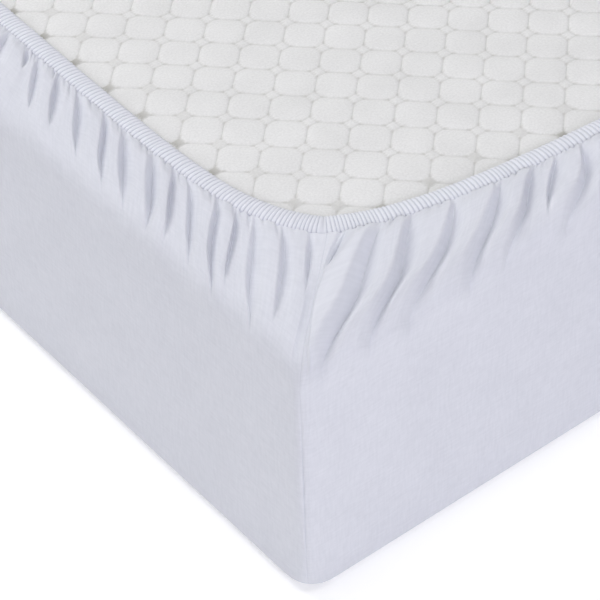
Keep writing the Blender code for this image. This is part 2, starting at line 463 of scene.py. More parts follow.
@dataclass(frozen=True)
class Fold:
    """A trough from the stitches to the edge, with the puff beyond it. Table rows are millimetres.

    Attributes:
        hem: Distance from the corner at which the trough leaves the stitches.
        edge: Distance from the corner at which its line meets the edge.
        tip: How far up the cloth from the start of the edge's rounding it dies out.
        bow: How far its middle bends away from the corner.
        skew: How far its outer half bends away from the corner, and its inner half towards it.
        ridge: Height of the puff beyond it.
        flank: Width of the steep flank that falls into it.
    """

    hem: float
    edge: float
    tip: float
    bow: float
    skew: float
    ridge: float
    flank: float

    def mirrored(self) -> "Fold":
        """The same fold, for a side that is walked towards the corner."""
        return Fold(self.hem, self.edge, self.tip, -self.bow, -self.skew, self.ridge, self.flank)


# The folds beside the front left corner, in the order hem, edge, tip, bow, skew, ridge, flank. The
# photograph shows the first 8 front ones and the first 14 left ones, and the others carry on beyond it
FRONT_FOLDS = (
    Fold(152, 8, 93, -12, 0, 17, 6),
    Fold(185, 21, -24, 11, 5, 15, 17),
    Fold(215, 78, -18, 15, 4.5, 13, 11),
    Fold(261, 126, -27, 18, 3, 13, 9),
    Fold(314, 200, -15, 10, 1, 15, 12),
    Fold(355, 244, -5, 9, 4, 9, 7),
    Fold(382, 298, 26, -3, 0, 13, 4),
    Fold(412, 322, -12, 17, 4, 15, 8),
    Fold(449, 388, 12, 8, 2, 11, 7),
    Fold(491, 440, 21, 8, 2, 10, 7),
    Fold(536, 498, 10, 7, 2, 12, 9),
    Fold(580, 552, 25, 4, 0, 10, 9),
    Fold(628, 612, 14, 3, 0, 11, 10),
)
LEFT_FOLDS = (
    Fold(138, 14, 80, -4, 0, 4, 5),
    Fold(163, 46, 32, -7, 1, 8, 6),
    Fold(191, 72, 12, 2, 1, 10, 6),
    Fold(213, 112, 32, 1, 2, 7, 3),
    Fold(235, 130, 14, 5, 1, 11, 5.5),
    Fold(277, 167, 22, -2, 1, 11, 5),
    Fold(299, 210, 27, -2, -1, 8, 3.5),
    Fold(334, 238, 20, -6, -1, 13, 8.5),
    Fold(382, 272, 23, 1, 0, 12, 6.5),
    Fold(417, 301, 26, 6, 3, 11, 5),
    Fold(466, 346, 31, 4, 2, 11, 5),
    Fold(503, 397, 39, 5, 1, 9, 4),
    Fold(541, 442, 39, 0, 0, 11, 5),
    Fold(561, 486, 73, -4, 1, 8, 3.5),
    Fold(598, 530, 43, 3, 0, 11, 5),
    Fold(640, 584, 39, 2, 0, 9, 5),
    Fold(683, 637, 33, 0, 0, 10, 5),
    Fold(728, 691, 41, 2, 0, 9, 5),
    Fold(771, 742, 31, 3, 0, 11, 5),
    Fold(817, 798, 37, 0, 0, 9, 5),
    Fold(860, 849, 43, 2, 0, 9, 5),
    Fold(907, 903, 35, 0, 0, 10, 5),
)


@dataclass(frozen=True)
class HiddenFolds:
    """The rule for the folds that are in neither of those tables, in millimetres.

    Attributes:
        first: Distance of the first fold from the corner, at the hem.
        pitch: Usual spacing at the hem.
        pitch_spread: How far the spacing varies, as a share.
        lean: How much nearer the corner the first fold's tip lies than its hem.
        lean_spread: How far the lean varies, as a share.
        clearance: Least distance between two tips.
        tips: Least and greatest distance up the cloth at which a fold dies out.
        bows: Least and greatest bend of its middle.
        skews: Least and greatest bend of its halves.
        ridges: Least and greatest height of its puff.
        flanks: Least and greatest width of its steep flank.
        seed: Seed of the random draw.
    """

    first: float = 166
    pitch: float = 47
    pitch_spread: float = 0.16
    lean: float = 120
    lean_spread: float = 0.10
    clearance: float = 16
    tips: tuple[float, float] = (2, 24)
    bows: tuple[float, float] = (0, 12)
    skews: tuple[float, float] = (0, 4)
    ridges: tuple[float, float] = (8, 12)
    flanks: tuple[float, float] = (6, 14)
    seed: int = 7

    def half_side(self, side: Side, draw: random.Random) -> list[Fold]:
        """Folds from one corner to the middle of its side.

        Args:
            side: The side they lie along.
            draw: Source of their unevenness.

        Returns:
            The folds in order from the corner.
        """
        folds: list[Fold] = []
        half = side.length / MM / 2
        hem = self.first
        while hem < half - self.pitch / 3:
            lean = self.lean * (half - hem) / (half - self.first)
            lean *= 1 + draw.uniform(-self.lean_spread, self.lean_spread)
            edge = max(hem - lean, (folds[-1].edge if folds else 0) + self.clearance)
            ranges = (self.tips, self.bows, self.skews, self.ridges, self.flanks)
            folds.append(Fold(hem, edge, *(draw.uniform(*limits) for limits in ranges)))
            hem += self.pitch * (1 + draw.uniform(-self.pitch_spread, self.pitch_spread))
        return folds


@dataclass(frozen=True)
class CornerSeam:
    """The seam of one corner, which the folds on both sides start from.

    Attributes:
        offset: How far the seam stands from the middle of the rounded corner, along the outline.
        hem_offset: How far it stands from the middle of the hem's corner, along the hem.
        depth: How deep its crease is.
        ridge: Height of the puff beyond it, in millimetres.
        flank: Width of the flank that falls into it, in millimetres.
    """

    offset: float
    hem_offset: float = 0.0
    depth: float = 0.0006
    ridge: float = 7.0
    flank: float = 5.0


@dataclass
class FoldColumns:
    """The lines that run down the skirt, each with its place at the stitches and at the edge.

    Attributes:
        hem: Place of each line on the hem line.
        edge: Place of each line on the outline.
        bow: How far its middle bends along the skirt.
        skew: How far its outer half bends along the skirt.
        ridge: Height of the puff that it crosses.
        before: Number of the fold whose trough lies before it.
        share: Where it lies between that trough and the next one.
        troughs: Number of the line that runs along each fold's trough.
        tip: Where each fold dies out.
        flank: Width of each fold's steep flank.
        seam: Whether each fold is a corner seam.
    """

    hem: np.ndarray
    edge: np.ndarray
    bow: np.ndarray
    skew: np.ndarray
    ridge: np.ndarray
    before: np.ndarray
    share: np.ndarray
    troughs: np.ndarray
    tip: np.ndarray
    flank: np.ndarray
    seam: np.ndarray


@dataclass
class FoldPlan:
    """Lays the folds round the whole sheet and draws the lines between them.

    Attributes:
        footprint: The outline.
        hem_line: The hem's centre line.
        seams: The corner seam at the start of each side.
        hidden: The rule for unseen folds.
        shares: Where lines run between one trough and the next.
    """

    footprint: Footprint
    hem_line: HemLine
    seams: tuple[CornerSeam, ...] = (
        CornerSeam(offset=-0.001, hem_offset=0.003),
        CornerSeam(offset=0.004),
        CornerSeam(offset=-0.006, hem_offset=0.005),
        CornerSeam(offset=0.003, hem_offset=-0.004),
    )
    hidden: HiddenFolds = HiddenFolds()
    shares: tuple[float, ...] = (
        0, 0.025, 0.06, 0.105, 0.16, 0.22, 0.285, 0.35, 0.415, 0.475, 0.53,
        0.585, 0.635, 0.685, 0.73, 0.775, 0.815, 0.85, 0.885, 0.92, 0.95, 0.978,
    )

    def folds(self) -> list[tuple[float, float, Fold, bool]]:
        """Lay every fold round the sheet, from the front left corner.

        Returns:
            For each fold its place on the hem, its place on the outline, its row in the table, and
            whether it is a corner seam.
        """
        draw = random.Random(self.hidden.seed)
        laid = []
        for index, side in enumerate(self.footprint.sides):
            first = FRONT_FOLDS if side.name is SideName.FRONT else self.hidden.half_side(side, draw)
            last = LEFT_FOLDS if side.name is SideName.LEFT else self.hidden.half_side(side, draw)
            seam, length = self.seams[index], side.length / MM
            crease = Fold(hem=0, edge=0, tip=0, bow=0, skew=0, ridge=seam.ridge, flank=seam.flank)
            hem_start, edge_start = self.hem_line.start(index), self.footprint.start(index)
            laid.append((hem_start + seam.hem_offset, edge_start + seam.offset, crease, True))
            rows = [(row.hem, row.edge, row) for row in first]
            rows += [(length - row.hem, length - row.edge, row.mirrored()) for row in reversed(last)]
            hems = self.hem_line.place_beside(index, np.array([row[0] for row in rows]) * MM)
            laid += [(hem, edge_start + edge * MM, row, False) for hem, (_, edge, row) in zip(hems, rows)]
        return laid

    def columns(self) -> FoldColumns:
        """Draw the lines of the skirt between the folds.

        Returns:
            The lines, with what the skirt needs to know of each.
        """
        hem_places, edge_places, rows, seams = zip(*self.folds())
        count, lines = len(rows), len(self.shares)
        hems = np.array([*hem_places, hem_places[0] + self.hem_line.round_places])
        edges = np.array([*edge_places, edge_places[0] + self.footprint.length])
        around = [*rows, rows[0]]
        bows = np.array([row.bow for row in around]) * MM
        skews = np.array([row.skew for row in around]) * MM
        puffs = np.array([row.ridge for row in rows]) * MM
        at_trough = (puffs + np.roll(puffs, 1)) / 2
        share = np.tile(np.array(self.shares), count)
        fold = np.repeat(np.arange(count), lines)
        nearest = np.where(share < 0.5, at_trough[fold], np.roll(at_trough, -1)[fold])

        def between(values: np.ndarray) -> np.ndarray:
            """Each line's value between its two folds' own."""
            return values[fold] + (values[fold + 1] - values[fold]) * share

        return FoldColumns(
            hem=between(hems),
            edge=between(edges),
            bow=between(bows),
            skew=between(skews),
            ridge=puffs[fold] + (nearest - puffs[fold]) * np.abs(2 * share - 1) ** 2,
            before=fold,
            share=share,
            troughs=np.arange(count) * lines,
            tip=np.array([row.tip for row in rows]) * MM,
            flank=np.array([row.flank for row in rows]) * MM,
            seam=np.array(seams),
        )


# Finishes


class Graph:
    """A material's nodes, with short ways to add and join them."""

    def __init__(self, name: str) -> None:
        """Start a material with one Principled shader.

        Args:
            name: The material's name.
        """
        self.material = bpy.data.materials.new(name)
        self.material.use_nodes = True
        self.tree = self.material.node_tree
        self.shader = self.tree.nodes["Principled BSDF"]

    def add(self, kind: str, inputs: dict[str, object] | None = None, **settings: object) -> bpy.types.Node:
        """Add a node.

        Args:
            kind: Blender's name of the node type.
            inputs: Values, or sockets to join, by input name.
            settings: Properties of the node.

        Returns:
            The new node.
        """
        node = self.tree.nodes.new(kind)
        for key, value in settings.items():
            setattr(node, key, value)
        self.put(node, inputs or {})
        return node

    def put(self, node: bpy.types.Node, inputs: dict[str | int, object]) -> None:
        """Join a node's inputs to other nodes' outputs, or set their own values."""
        for key, value in inputs.items():
            if isinstance(value, bpy.types.NodeSocket):
                self.tree.links.new(value, node.inputs[key])
            else:
                node.inputs[key].default_value = value

    def math(self, operation: str, *terms: object) -> bpy.types.NodeSocket:
        """Work out one operation on numbers or sockets."""
        return self.add("ShaderNodeMath", dict(enumerate(terms)), operation=operation).outputs[0]

    def cloth_places(self, scale: tuple[float, float, float]) -> bpy.types.NodeSocket:
        """Places on the flat cloth, scaled."""
        flat = self.add("ShaderNodeUVMap", uv_map=CLOTH_MAP)
        mapping = self.add("ShaderNodeMapping", {"Vector": flat.outputs["UV"], "Scale": scale})
        return mapping.outputs["Vector"]

    def with_painted_shade(self, colour: bpy.types.NodeSocket, shadow: tuple) -> bpy.types.NodeSocket:
        """Painted shade: the colour, mixed towards a shadow colour by each vertex's painted shade, as down in
        the grooves.
        """
        groove = self.add("ShaderNodeAttribute", attribute_name=PAINTED_SHADE)
        return self.mix(groove.outputs["Fac"], colour, (*shadow, 1.0))

    def mix(self, value: bpy.types.NodeSocket, first: object, second: object) -> bpy.types.NodeSocket:
        """The first colour where the value is 0, and the second where it is 1."""
        node = self.add("ShaderNodeMix", data_type="RGBA")
        self.put(node, {"Factor": value, "A": first, "B": second})
        return node.outputs["Result"]

    def noise(self, vector: bpy.types.NodeSocket, scale: float, detail: float = 2.0) -> bpy.types.NodeSocket:
        """A noise value from 0 to 1."""
        node = self.add("ShaderNodeTexNoise", {"Vector": vector, "Scale": scale, "Detail": detail})
        return node.outputs["Fac"]

    def between(self, value: bpy.types.NodeSocket, low: float, high: float) -> bpy.types.NodeSocket:
        """Spread a value from 0 to 1 over another range."""
        node = self.add("ShaderNodeMapRange", {"Value": value, "To Min": low, "To Max": high})
        return node.outputs["Result"]

    def tint(self, value: bpy.types.NodeSocket, dark: tuple, light: tuple) -> bpy.types.NodeSocket:
        """A colour between two, by a value from 0 to 1."""
        return self.mix(value, (*dark, 1.0), (*light, 1.0))

    def bands(
        self, vector: bpy.types.NodeSocket, direction: str, pitch: float, waver: float = 0.0
    ) -> bpy.types.NodeSocket:
        """Bands with an even spacing.

        Args:
            vector: Places on the cloth.
            direction: The axis that the bands lie across.
            pitch: Their spacing. At scale 1 the node's sine turns once in tau / 20.
            waver: How uneven they are.

        Returns:
            A value from 0 to 1.
        """
        inputs = {"Vector": vector, "Scale": math.tau / 20 / pitch, "Distortion": waver}
        return self.add("ShaderNodeTexWave", inputs, bands_direction=direction).outputs["Fac"]

    def bump(self, height: bpy.types.NodeSocket, distance: float, strength: float = 0.5) -> None:
        """Give the shader a relief of that height."""
        node = self.add("ShaderNodeBump", {"Height": height, "Strength": strength, "Distance": distance})
        self.put(self.shader, {"Normal": node.outputs["Normal"]})


@dataclass(frozen=True)
class WovenCotton:
    """Plain woven cool white cotton, with a thread's unevenness and a soft sheen.

    Attributes:
        name: The material's name.
        dark: Colour where the cloth is a little darker.
        light: Colour where it is a little lighter.
        groove: Painted shade colour between two ribs or pleats, in the troughs and along the seams.
        thread: Spacing of the threads.
        slub_width: Width of a thicker stretch of thread.
        slub_length: Its length.
        slub_tone: How far it changes the tone.
        cloud: Size of the slow changes of tone.
        cloud_tone: How far they go.
        relief: Height of the threads.
        weave: Share of the threads in the relief, beside their thicker stretches.
        roughness: Least and greatest roughness.
        sheen: Strength of the sheen.
        sheen_roughness: Its softness.
    """

    name: str = "woven_cotton"
    dark: tuple[float, float, float] = (0.560, 0.576, 0.641)
    light: tuple[float, float, float] = (0.756, 0.768, 0.833)
    groove: tuple[float, float, float] = (0.42, 0.44, 0.52)
    thread: float = 0.0005
    slub_width: float = 0.003
    slub_length: float = 0.018
    slub_tone: float = 0.45
    cloud: float = 0.06
    cloud_tone: float = 0.3
    relief: float = 0.00025
    weave: float = 0.5
    roughness: tuple[float, float] = (0.78, 0.92)
    sheen: float = 0.15
    sheen_roughness: float = 0.5

    def material(self) -> bpy.types.Material:
        """Build the material."""
        graph = Graph(self.name)
        flat = graph.cloth_places((1.0, 1.0, 1.0))
        weave = graph.math("MAXIMUM", *(graph.bands(flat, way, self.thread) for way in ("X", "Y")))
        thin, long = 1 / self.slub_width, 1 / self.slub_length
        across = graph.noise(graph.cloth_places((long, thin, 1.0)), 1.0)
        down = graph.noise(graph.cloth_places((thin, long, 1.0)), 1.0)
        slubs = graph.math("ADD", across, down)
        cloud = graph.math("MULTIPLY", graph.noise(flat, 1 / self.cloud), self.cloud_tone)
        tone = graph.math("MULTIPLY_ADD", slubs, self.slub_tone, cloud)
        # Painted shade: the tone is mixed towards the groove colour by each vertex's painted shade
        colour = graph.with_painted_shade(graph.tint(tone, self.dark, self.light), self.groove)
        graph.put(graph.shader, {"Base Color": colour, "Roughness": graph.between(across, *self.roughness)})
        graph.put(graph.shader, {"Sheen Weight": self.sheen, "Sheen Roughness": self.sheen_roughness})
        graph.bump(graph.math("ADD", graph.math("MULTIPLY", weave, self.weave), slubs), self.relief)
        return graph.material


@dataclass(frozen=True)
class KnittedTicking:
    """Warm white knitted ticking, matt, with small loops in rows.

    Attributes:
        name: The material's name.
        dark: Colour between the loops.
        light: Colour of the loops.
        groove: Painted shade colour of the quilting's stitched grooves, its puckers and the squares pressed
            down by the hem.
        loop: Spacing of the loops in a row.
        rows: How much closer the rows lie.
        waver: How uneven the rows are.
        fuzz: Size of the fuzz, in loops.
        fuzz_range: Least and greatest strength of the fuzz.
        cloud: Size of the slow changes of tone.
        tone: How far fuzz, cloud and loops together change the tone.
        relief: Height of the loops.
        roughness: Least and greatest roughness.
        sheen: Strength of the sheen.
    """

    name: str = "knitted_ticking"
    dark: tuple[float, float, float] = (0.600, 0.600, 0.599)
    light: tuple[float, float, float] = (0.875, 0.875, 0.874)
    groove: tuple[float, float, float] = (0.31, 0.30, 0.265)
    loop: float = 0.0011
    rows: float = 1.3
    waver: float = 1.0
    fuzz: float = 2.2
    fuzz_range: tuple[float, float] = (-0.35, 1.35)
    cloud: float = 0.05
    tone: float = 0.4
    relief: float = 0.0003
    roughness: tuple[float, float] = (0.85, 0.97)
    sheen: float = 0.1

    def material(self) -> bpy.types.Material:
        """Build the material."""
        graph = Graph(self.name)
        flat = graph.cloth_places((1.0, 1.0, 1.0))
        wale = graph.bands(flat, "X", self.loop)
        course = graph.bands(flat, "Y", self.loop / self.rows, self.waver)
        loops = graph.math("MULTIPLY", wale, course)
        fuzz = graph.between(graph.noise(flat, 1 / (self.fuzz * self.loop)), *self.fuzz_range)
        cloud = graph.noise(flat, 1 / self.cloud)
        tone = graph.math("MULTIPLY", graph.math("ADD", graph.math("ADD", fuzz, cloud), loops), self.tone)
        # Painted shade: the tone is mixed towards the groove colour by each vertex's painted shade
        colour = graph.with_painted_shade(graph.tint(tone, self.dark, self.light), self.groove)
        graph.put(graph.shader, {"Base Color": colour, "Roughness": graph.between(fuzz, *self.roughness)})
        graph.put(graph.shader, {"Sheen Weight": self.sheen})
        graph.bump(graph.math("ADD", loops, fuzz), self.relief)
        return graph.material


@dataclass(frozen=True)
class PaleFloor:
    """The plain floor that the mattress lies on.

    Attributes:
        name: The material's name.
        colour: Its colour.
        roughness: Its roughness.
        glow: How much light it gives of its own, so that it stays as white as a lit table.
    """

    name: str = "pale_floor"
    colour: tuple[float, float, float] = (0.92, 0.92, 0.92)
    roughness: float = 0.9
    glow: float = 0.22

    def material(self) -> bpy.types.Material:
        """Build the material."""
        graph = Graph(self.name)
        graph.put(graph.shader, {"Base Color": (*self.colour, 1.0), "Roughness": self.roughness})
        graph.put(graph.shader, {"Emission Color": (1.0, 1.0, 1.0, 1.0), "Emission Strength": self.glow})
        return graph.material


# The sheet


@dataclass(frozen=True)
class Pleats:
    """Short creases that start at the stitches, deepest there.

    Attributes:
        gap: Least and greatest spacing.
        width: Half the width of a crease.
        depth: Least and greatest depth.
        reach: Least and greatest length.
        seed: Seed of the random draw.
    """

    gap: tuple[float, float] = (0.006, 0.016)
    width: float = 0.0018
    depth: tuple[float, float] = (0.0012, 0.0036)
    reach: tuple[float, float] = (0.006, 0.026)
    seed: int = 11

    def at(self, places: np.ndarray, to_hem: np.ndarray) -> np.ndarray:
        """Sample the creases.

        Args:
            places: Place of each line on the hem line.
            to_hem: How far each point of each line lies from the stitches.

        Returns:
            The depth of the creases at each point.
        """
        draw = random.Random(self.seed)
        depths, reaches = np.zeros(len(places)), np.full(len(places), self.reach[0])
        middle = places[0] + draw.uniform(*self.gap)
        while middle < places[-1] - self.gap[0]:
            deep, long = draw.uniform(*self.depth), draw.uniform(*self.reach)
            here = deep * np.exp(-(((places - middle) / self.width) ** 2))
            reaches = np.where(here > depths, long, reaches)
            depths = np.maximum(depths, here)
            middle += draw.uniform(*self.gap)
        return depths * (1 - smooth_step(to_hem / reaches))


@dataclass(frozen=True)
class FoldRelief:
    """How the cloth rises and falls across the skirt's folds and along them.

    Attributes:
        ridge_start: Where a puff starts at the latest, up the cloth from the start of the edge's rounding.
        tip_lead: How far before its trough's tip it starts.
        ridge_rise: Distance over which it rises.
        hem_ridge: Share of its height that it has at the stitches.
        hem_rise: Distance from the stitches over which it gains the rest.
        widest: How far along it a trough is widest, as a share.
        opening: How slowly a trough opens at its tip.
        hem_start: How far along it a trough starts to narrow again, as a share.
        hem_narrowing: How much narrower it is at the stitches, as a share.
        trough_share: Depth of a trough, as a share of the puff's height.
        seam_share: Depth of a corner seam, as a share too.
        flank_round: How hollow the steep flank is.
        rise_share: Width of the rise behind a trough, as a share of what the flank ahead leaves free.
        tip_rise: Share of that width that the rise has at the tip.
        rise_round: How hollow the rise is.
        trough_painted_shade: How much painted shade a trough's flanks get, from 0 to 1.
        pleats: The creases at the stitches.
    """

    ridge_start: float = -0.010
    tip_lead: float = 0.007
    ridge_rise: float = 0.028
    hem_ridge: float = 0.22
    hem_rise: float = 0.018
    widest: float = 0.5
    opening: float = 0.8
    hem_start: float = 0.6
    hem_narrowing: float = 0.42
    trough_share: float = 0.92
    seam_share: float = 0.28
    flank_round: float = 1.15
    rise_share: float = 0.55
    tip_rise: float = 0.3
    rise_round: float = 1.45
    trough_painted_shade: float = 0.11
    pleats: Pleats = Pleats()

    def at(
        self, columns: FoldColumns, points: np.ndarray, run: np.ndarray, to_hem: np.ndarray, below: int
    ) -> tuple[np.ndarray, np.ndarray]:
        """Sample the folds.

        Args:
            columns: The lines that run down the skirt.
            points: Their plan points, row by row.
            run: How far up the cloth from the start of the edge's rounding each point lies.
            to_hem: How far each point lies from the stitches.
            below: How many rows lie below the edge's rounding, where a trough has no heading in plan.

        Returns:
            How high the cloth stands above its troughs at each point, and how much painted shade it gets
            there.
        """
        before, after = columns.before, (columns.before + 1) % len(columns.troughs)
        trough = points[:, columns.troughs]
        heading = np.gradient(trough, axis=0)
        heading[:below] = heading[below + 1]
        heading = unit(heading)
        past = np.abs(np.cross(points - trough[:, before], heading[:, before]))
        ahead = np.abs(np.cross(points - trough[:, after], heading[:, after]))
        leaf = self.leaf(columns, run, to_hem)
        flank = np.maximum(columns.flank * leaf, MM)[:, after]
        rise = np.maximum((past + ahead - flank) * self.rise_share, MM)
        rise = rise * (self.tip_rise + (1 - self.tip_rise) * leaf[:, before])
        falls = (1 - np.clip(ahead / flank, 0.0, 1.0)) ** self.flank_round
        rises = (1 - np.clip(past / rise, 0.0, 1.0)) ** self.rise_round
        deep = leaf * np.where(columns.seam, self.seam_share, self.trough_share)
        puff = (1 - deep[:, after] * falls) * (1 - deep[:, before] * rises)
        starts = np.minimum(columns.tip - self.tip_lead, self.ridge_start)
        start = starts[before] + (starts[after] - starts[before]) * columns.share
        edge_share = smooth_step((run - start) / self.ridge_rise)
        rising = np.sin(math.pi / 2 * np.clip(to_hem / self.hem_rise, 0.0, 1.0))
        hem_share = self.hem_ridge + (1 - self.hem_ridge) * rising
        lift = columns.ridge * edge_share * hem_share * puff - self.pleats.at(columns.hem, to_hem) * puff
        # Painted shade: the flank falling into each trough and the rise behind it are darkened, most at the
        # trough
        shade = np.maximum(deep[:, after] * np.sqrt(falls), deep[:, before] * rises**2)
        return lift, self.trough_painted_shade * shade * edge_share

    def leaf(self, columns: FoldColumns, run: np.ndarray, to_hem: np.ndarray) -> np.ndarray:
        """How full each trough is.

        Args:
            columns: The lines that run down the skirt.
            run: How far up the cloth from the start of the edge's rounding each point lies.
            to_hem: How far each point lies from the stitches.

        Returns:
            The share of its greatest width and depth that each trough has on each row.
        """
        travelled = run[:, columns.troughs] - columns.tip
        way = np.clip(travelled / (travelled + to_hem[:, columns.troughs]), 0.0, 1.0)
        opening = np.sin(math.pi / 2 * np.minimum(way / self.widest, 1.0)) ** self.opening
        closing = smooth_step((way - self.hem_start) / (1 - self.hem_start))
        return opening * (1 - self.hem_narrowing * closing)


@dataclass
class FittedSheet:
    """The cloth from the floor up its four sides and in over the edge to the stitches of the hem.

    Attributes:
        plan: The folds and the lines between them.
        top: Height of the mattress under the skirt.
        relief: How the cloth rises and falls over the folds.
        level: Height of the skirt's troughs above the mattress.
        stitch_height: Height of the stitches above it.
        hem_drop: Distance over which the skirt goes from one to the other.
        top_radius: Rounding of the upper edge.
        bottom_radius: Rounding of the lower edge.
        foot_radius: Radius of the upright corners at the floor.
        foot_height: How high above the floor that rounding goes.
        floor_gap: How high the panel lies.
        upright_rows: How far below the edge's rounding the skirt's first rows lie.
        edge_rows: Rows over the upper edge.
        skirt_rows: Where rows lie from the edge to the stitches, as shares.
        side_rows: Rows down the upright sides.
        bottom_rows: Rows round the lower edge.
        keep_every: One in how many of the skirt's lines goes on down the sides.
        seam_lines: How many lines on both sides of a corner seam go on as well.
        seam_painted_shade: How much painted shade lies along the corner seams' stitches.
        edge_painted_shade: How much more painted shade the troughs get where they go down over the edge.
        lean_over: How far a puff leans along the skirt, as a share of its height.
        swell: How far it stands out over the edge, as a share of its height.
        crease_width: Half the width of the corner seams' crease.
        crease_fade: How gradually the crease fades towards the floor and the edge.
        wave: Height of the slow waves on the sides.
        wave_length: Their length along a side.
        wave_rise: Their length along a side over their length up it.
        seed: Seed of the random draw.
        cut_size: The cloth's flat size; not used.
        cut_area: Its flat area without the squares cut from its corners; not used.
    """

    plan: FoldPlan
    top: float
    relief: FoldRelief = FoldRelief()
    level: float = 0.0012
    stitch_height: float = 0.0034
    hem_drop: float = 0.010
    top_radius: float = 0.024
    bottom_radius: float = 0.012
    foot_radius: float = 0.036
    foot_height: float = 0.09
    floor_gap: float = 0.0004
    upright_rows: tuple[float, ...] = (0.022, 0.016, 0.011, 0.0055)
    edge_rows: int = 6
    skirt_rows: tuple[float, ...] = (
        0.05, 0.11, 0.18, 0.25, 0.32, 0.39, 0.46, 0.53, 0.60, 0.67,
        0.735, 0.795, 0.845, 0.885, 0.92, 0.95, 0.975, 1.0,
    )
    side_rows: int = 10
    bottom_rows: int = 4
    keep_every: int = 4
    seam_lines: int = 8
    seam_painted_shade: float = 0.55
    edge_painted_shade: float = 1.2
    lean_over: float = 0.25
    swell: float = 0.4
    crease_width: float = 0.0014
    crease_fade: float = 0.25
    wave: float = 0.0009
    wave_length: float = 0.16
    wave_rise: float = 0.7
    seed: int = 11
    cut_size: tuple[float, float] = (2.22, 2.77)
    cut_area: float = 5.39

    def rows(self, depth: np.ndarray) -> tuple[np.ndarray, np.ndarray, np.ndarray]:
        """Lay the skirt's rows, from the upright side over the edge to the stitches.

        Args:
            depth: How far in from the edge the stitches lie, on each line.

        Returns:
            How far in each point lies, how far below the skirt's level, and how far up the cloth from
            the start of the edge's rounding.
        """
        level = np.ones_like(depth)
        angles = np.linspace(0.0, math.pi / 2, self.edge_rows + 1)[:-1, None] * level
        upright = -np.array(self.upright_rows)[:, None] * level
        shares = np.array((0.0,) + self.skirt_rows)[:, None]
        inner = self.top_radius + (depth - self.top_radius) * shares
        inset = np.concatenate((0 * upright, self.top_radius * (1 - np.cos(angles)), inner))
        drop = np.concatenate((self.top_radius - upright, self.top_radius * (1 - np.sin(angles)), 0 * inner))
        quarter = self.top_radius * math.pi / 2
        run = np.concatenate((upright, self.top_radius * angles, quarter + inner - self.top_radius))
        return inset, drop, run

    def skirt(self, columns: FoldColumns) -> tuple[np.ndarray, np.ndarray, np.ndarray]:
        """Shape the skirt.

        Args:
            columns: The lines that run down it.

        Returns:
            Points row by row from the upright side to the stitches, the rows' distances up the cloth, and how
            much painted shade each point gets.
        """
        edge, outward = self.plan.footprint.edge(columns.edge)
        stitches = self.plan.hem_line.stitches(columns.hem)
        depth = self.plan.footprint.inset(stitches)
        inset, drop, run = self.rows(depth)
        travel, to_hem = inset / depth, depth - inset
        sideways = unit(turned_left(outward) - turned_left(self.plan.hem_line.inward_at(columns.hem)))
        bend = columns.bow * np.sin(math.pi * travel) + columns.skew * np.sin(math.tau * travel)
        plan_points = edge + (stitches - edge) * travel[..., None] + sideways * bend[..., None]
        nearing = smooth_step(1 - to_hem / self.hem_drop)
        height = self.top + self.level - drop + (self.stitch_height - self.level) * nearing
        lift, painted_shades = self.relief.at(columns, plan_points, run, to_hem, below=len(self.upright_rows))
        upright = np.clip(drop / self.top_radius, 0.0, 1.0)
        plan_points = plan_points + sideways * (self.lean_over * lift)[..., None]
        plan_points = plan_points + outward * (self.swell * lift * upright)[..., None]
        points = np.concatenate((plan_points, (height + lift)[..., None]), axis=-1)
        # Painted shade in the troughs, stronger where they go down over the edge
        return points, row_distances(points), painted_shades * (1 + self.edge_painted_shade * upright)

    def sides(self, columns: FoldColumns, kept: np.ndarray) -> tuple[np.ndarray, np.ndarray]:
        """Shape the upright sides and the lower edge, from the floor up.

        Args:
            columns: The lines that run down the skirt.
            kept: Numbers of the lines that go on down the sides.

        Returns:
            Points row by row from the floor to just under the upper edge, and the rows' distances up.
        """
        edge, outward = self.plan.footprint.edge(columns.edge[kept])
        rounder = replace(self.plan.footprint, corner_radius=self.foot_radius)
        foot_edge, foot_outward = rounder.edge(columns.edge[kept])
        angles = np.linspace(math.pi / 2, 0.0, self.bottom_rows + 1)
        low_inset = self.bottom_radius * (1 - np.cos(angles))
        low_height = self.floor_gap + self.bottom_radius * (1 - np.sin(angles))
        low = self.floor_gap + self.bottom_radius
        high = self.top + self.level - self.top_radius - self.upright_rows[0]
        heights = np.linspace(low, high, self.side_rows + 2)[1:-1]
        height = np.concatenate((low_height, heights))[:, None] * np.ones(len(kept))
        inset = np.concatenate((low_inset, np.zeros(self.side_rows)))[:, None]
        place = columns.edge[kept] * np.ones_like(height)
        belly = np.sin(math.pi * np.clip(height / high, 0.0, 1.0))
        wave = self.wave * belly * Ripples(self.seed, self.wave_length).at(place, height * self.wave_rise)
        wave -= self.seam_crease(columns, kept) * belly**self.crease_fade
        foot = np.clip(1 - height / self.foot_height, 0.0, 1.0)[..., None] ** 2
        outline = edge + (foot_edge - edge) * foot
        facing = unit(outward + (foot_outward - outward) * foot)
        plan_points = outline - facing * (inset - wave)[..., None]
        points = np.concatenate((plan_points, height[..., None]), axis=-1)
        return points, row_distances(points)

    def seam_crease(self, columns: FoldColumns, kept: np.ndarray) -> np.ndarray:
        """Depth of the corner seams' crease at each kept line."""
        crease = np.zeros(len(kept))
        half = self.plan.footprint.length / 2
        for seam, fold in zip(self.plan.seams, np.flatnonzero(columns.seam)):
            middle = columns.edge[columns.troughs[fold]]
            away = np.abs(np.mod(columns.edge[kept] - middle + half, 2 * half) - half)
            crease += seam.depth * np.exp(-((away / self.crease_width) ** 2))
        return crease

    def kept_lines(self, columns: FoldColumns) -> np.ndarray:
        """Numbers of the skirt's lines that go on down the sides."""
        count = len(columns.hem)
        keep = np.arange(count) % self.keep_every == 0
        for trough in columns.troughs[columns.seam]:
            keep[np.arange(trough - self.seam_lines, trough + self.seam_lines + 1) % count] = True
        return np.flatnonzero(keep)

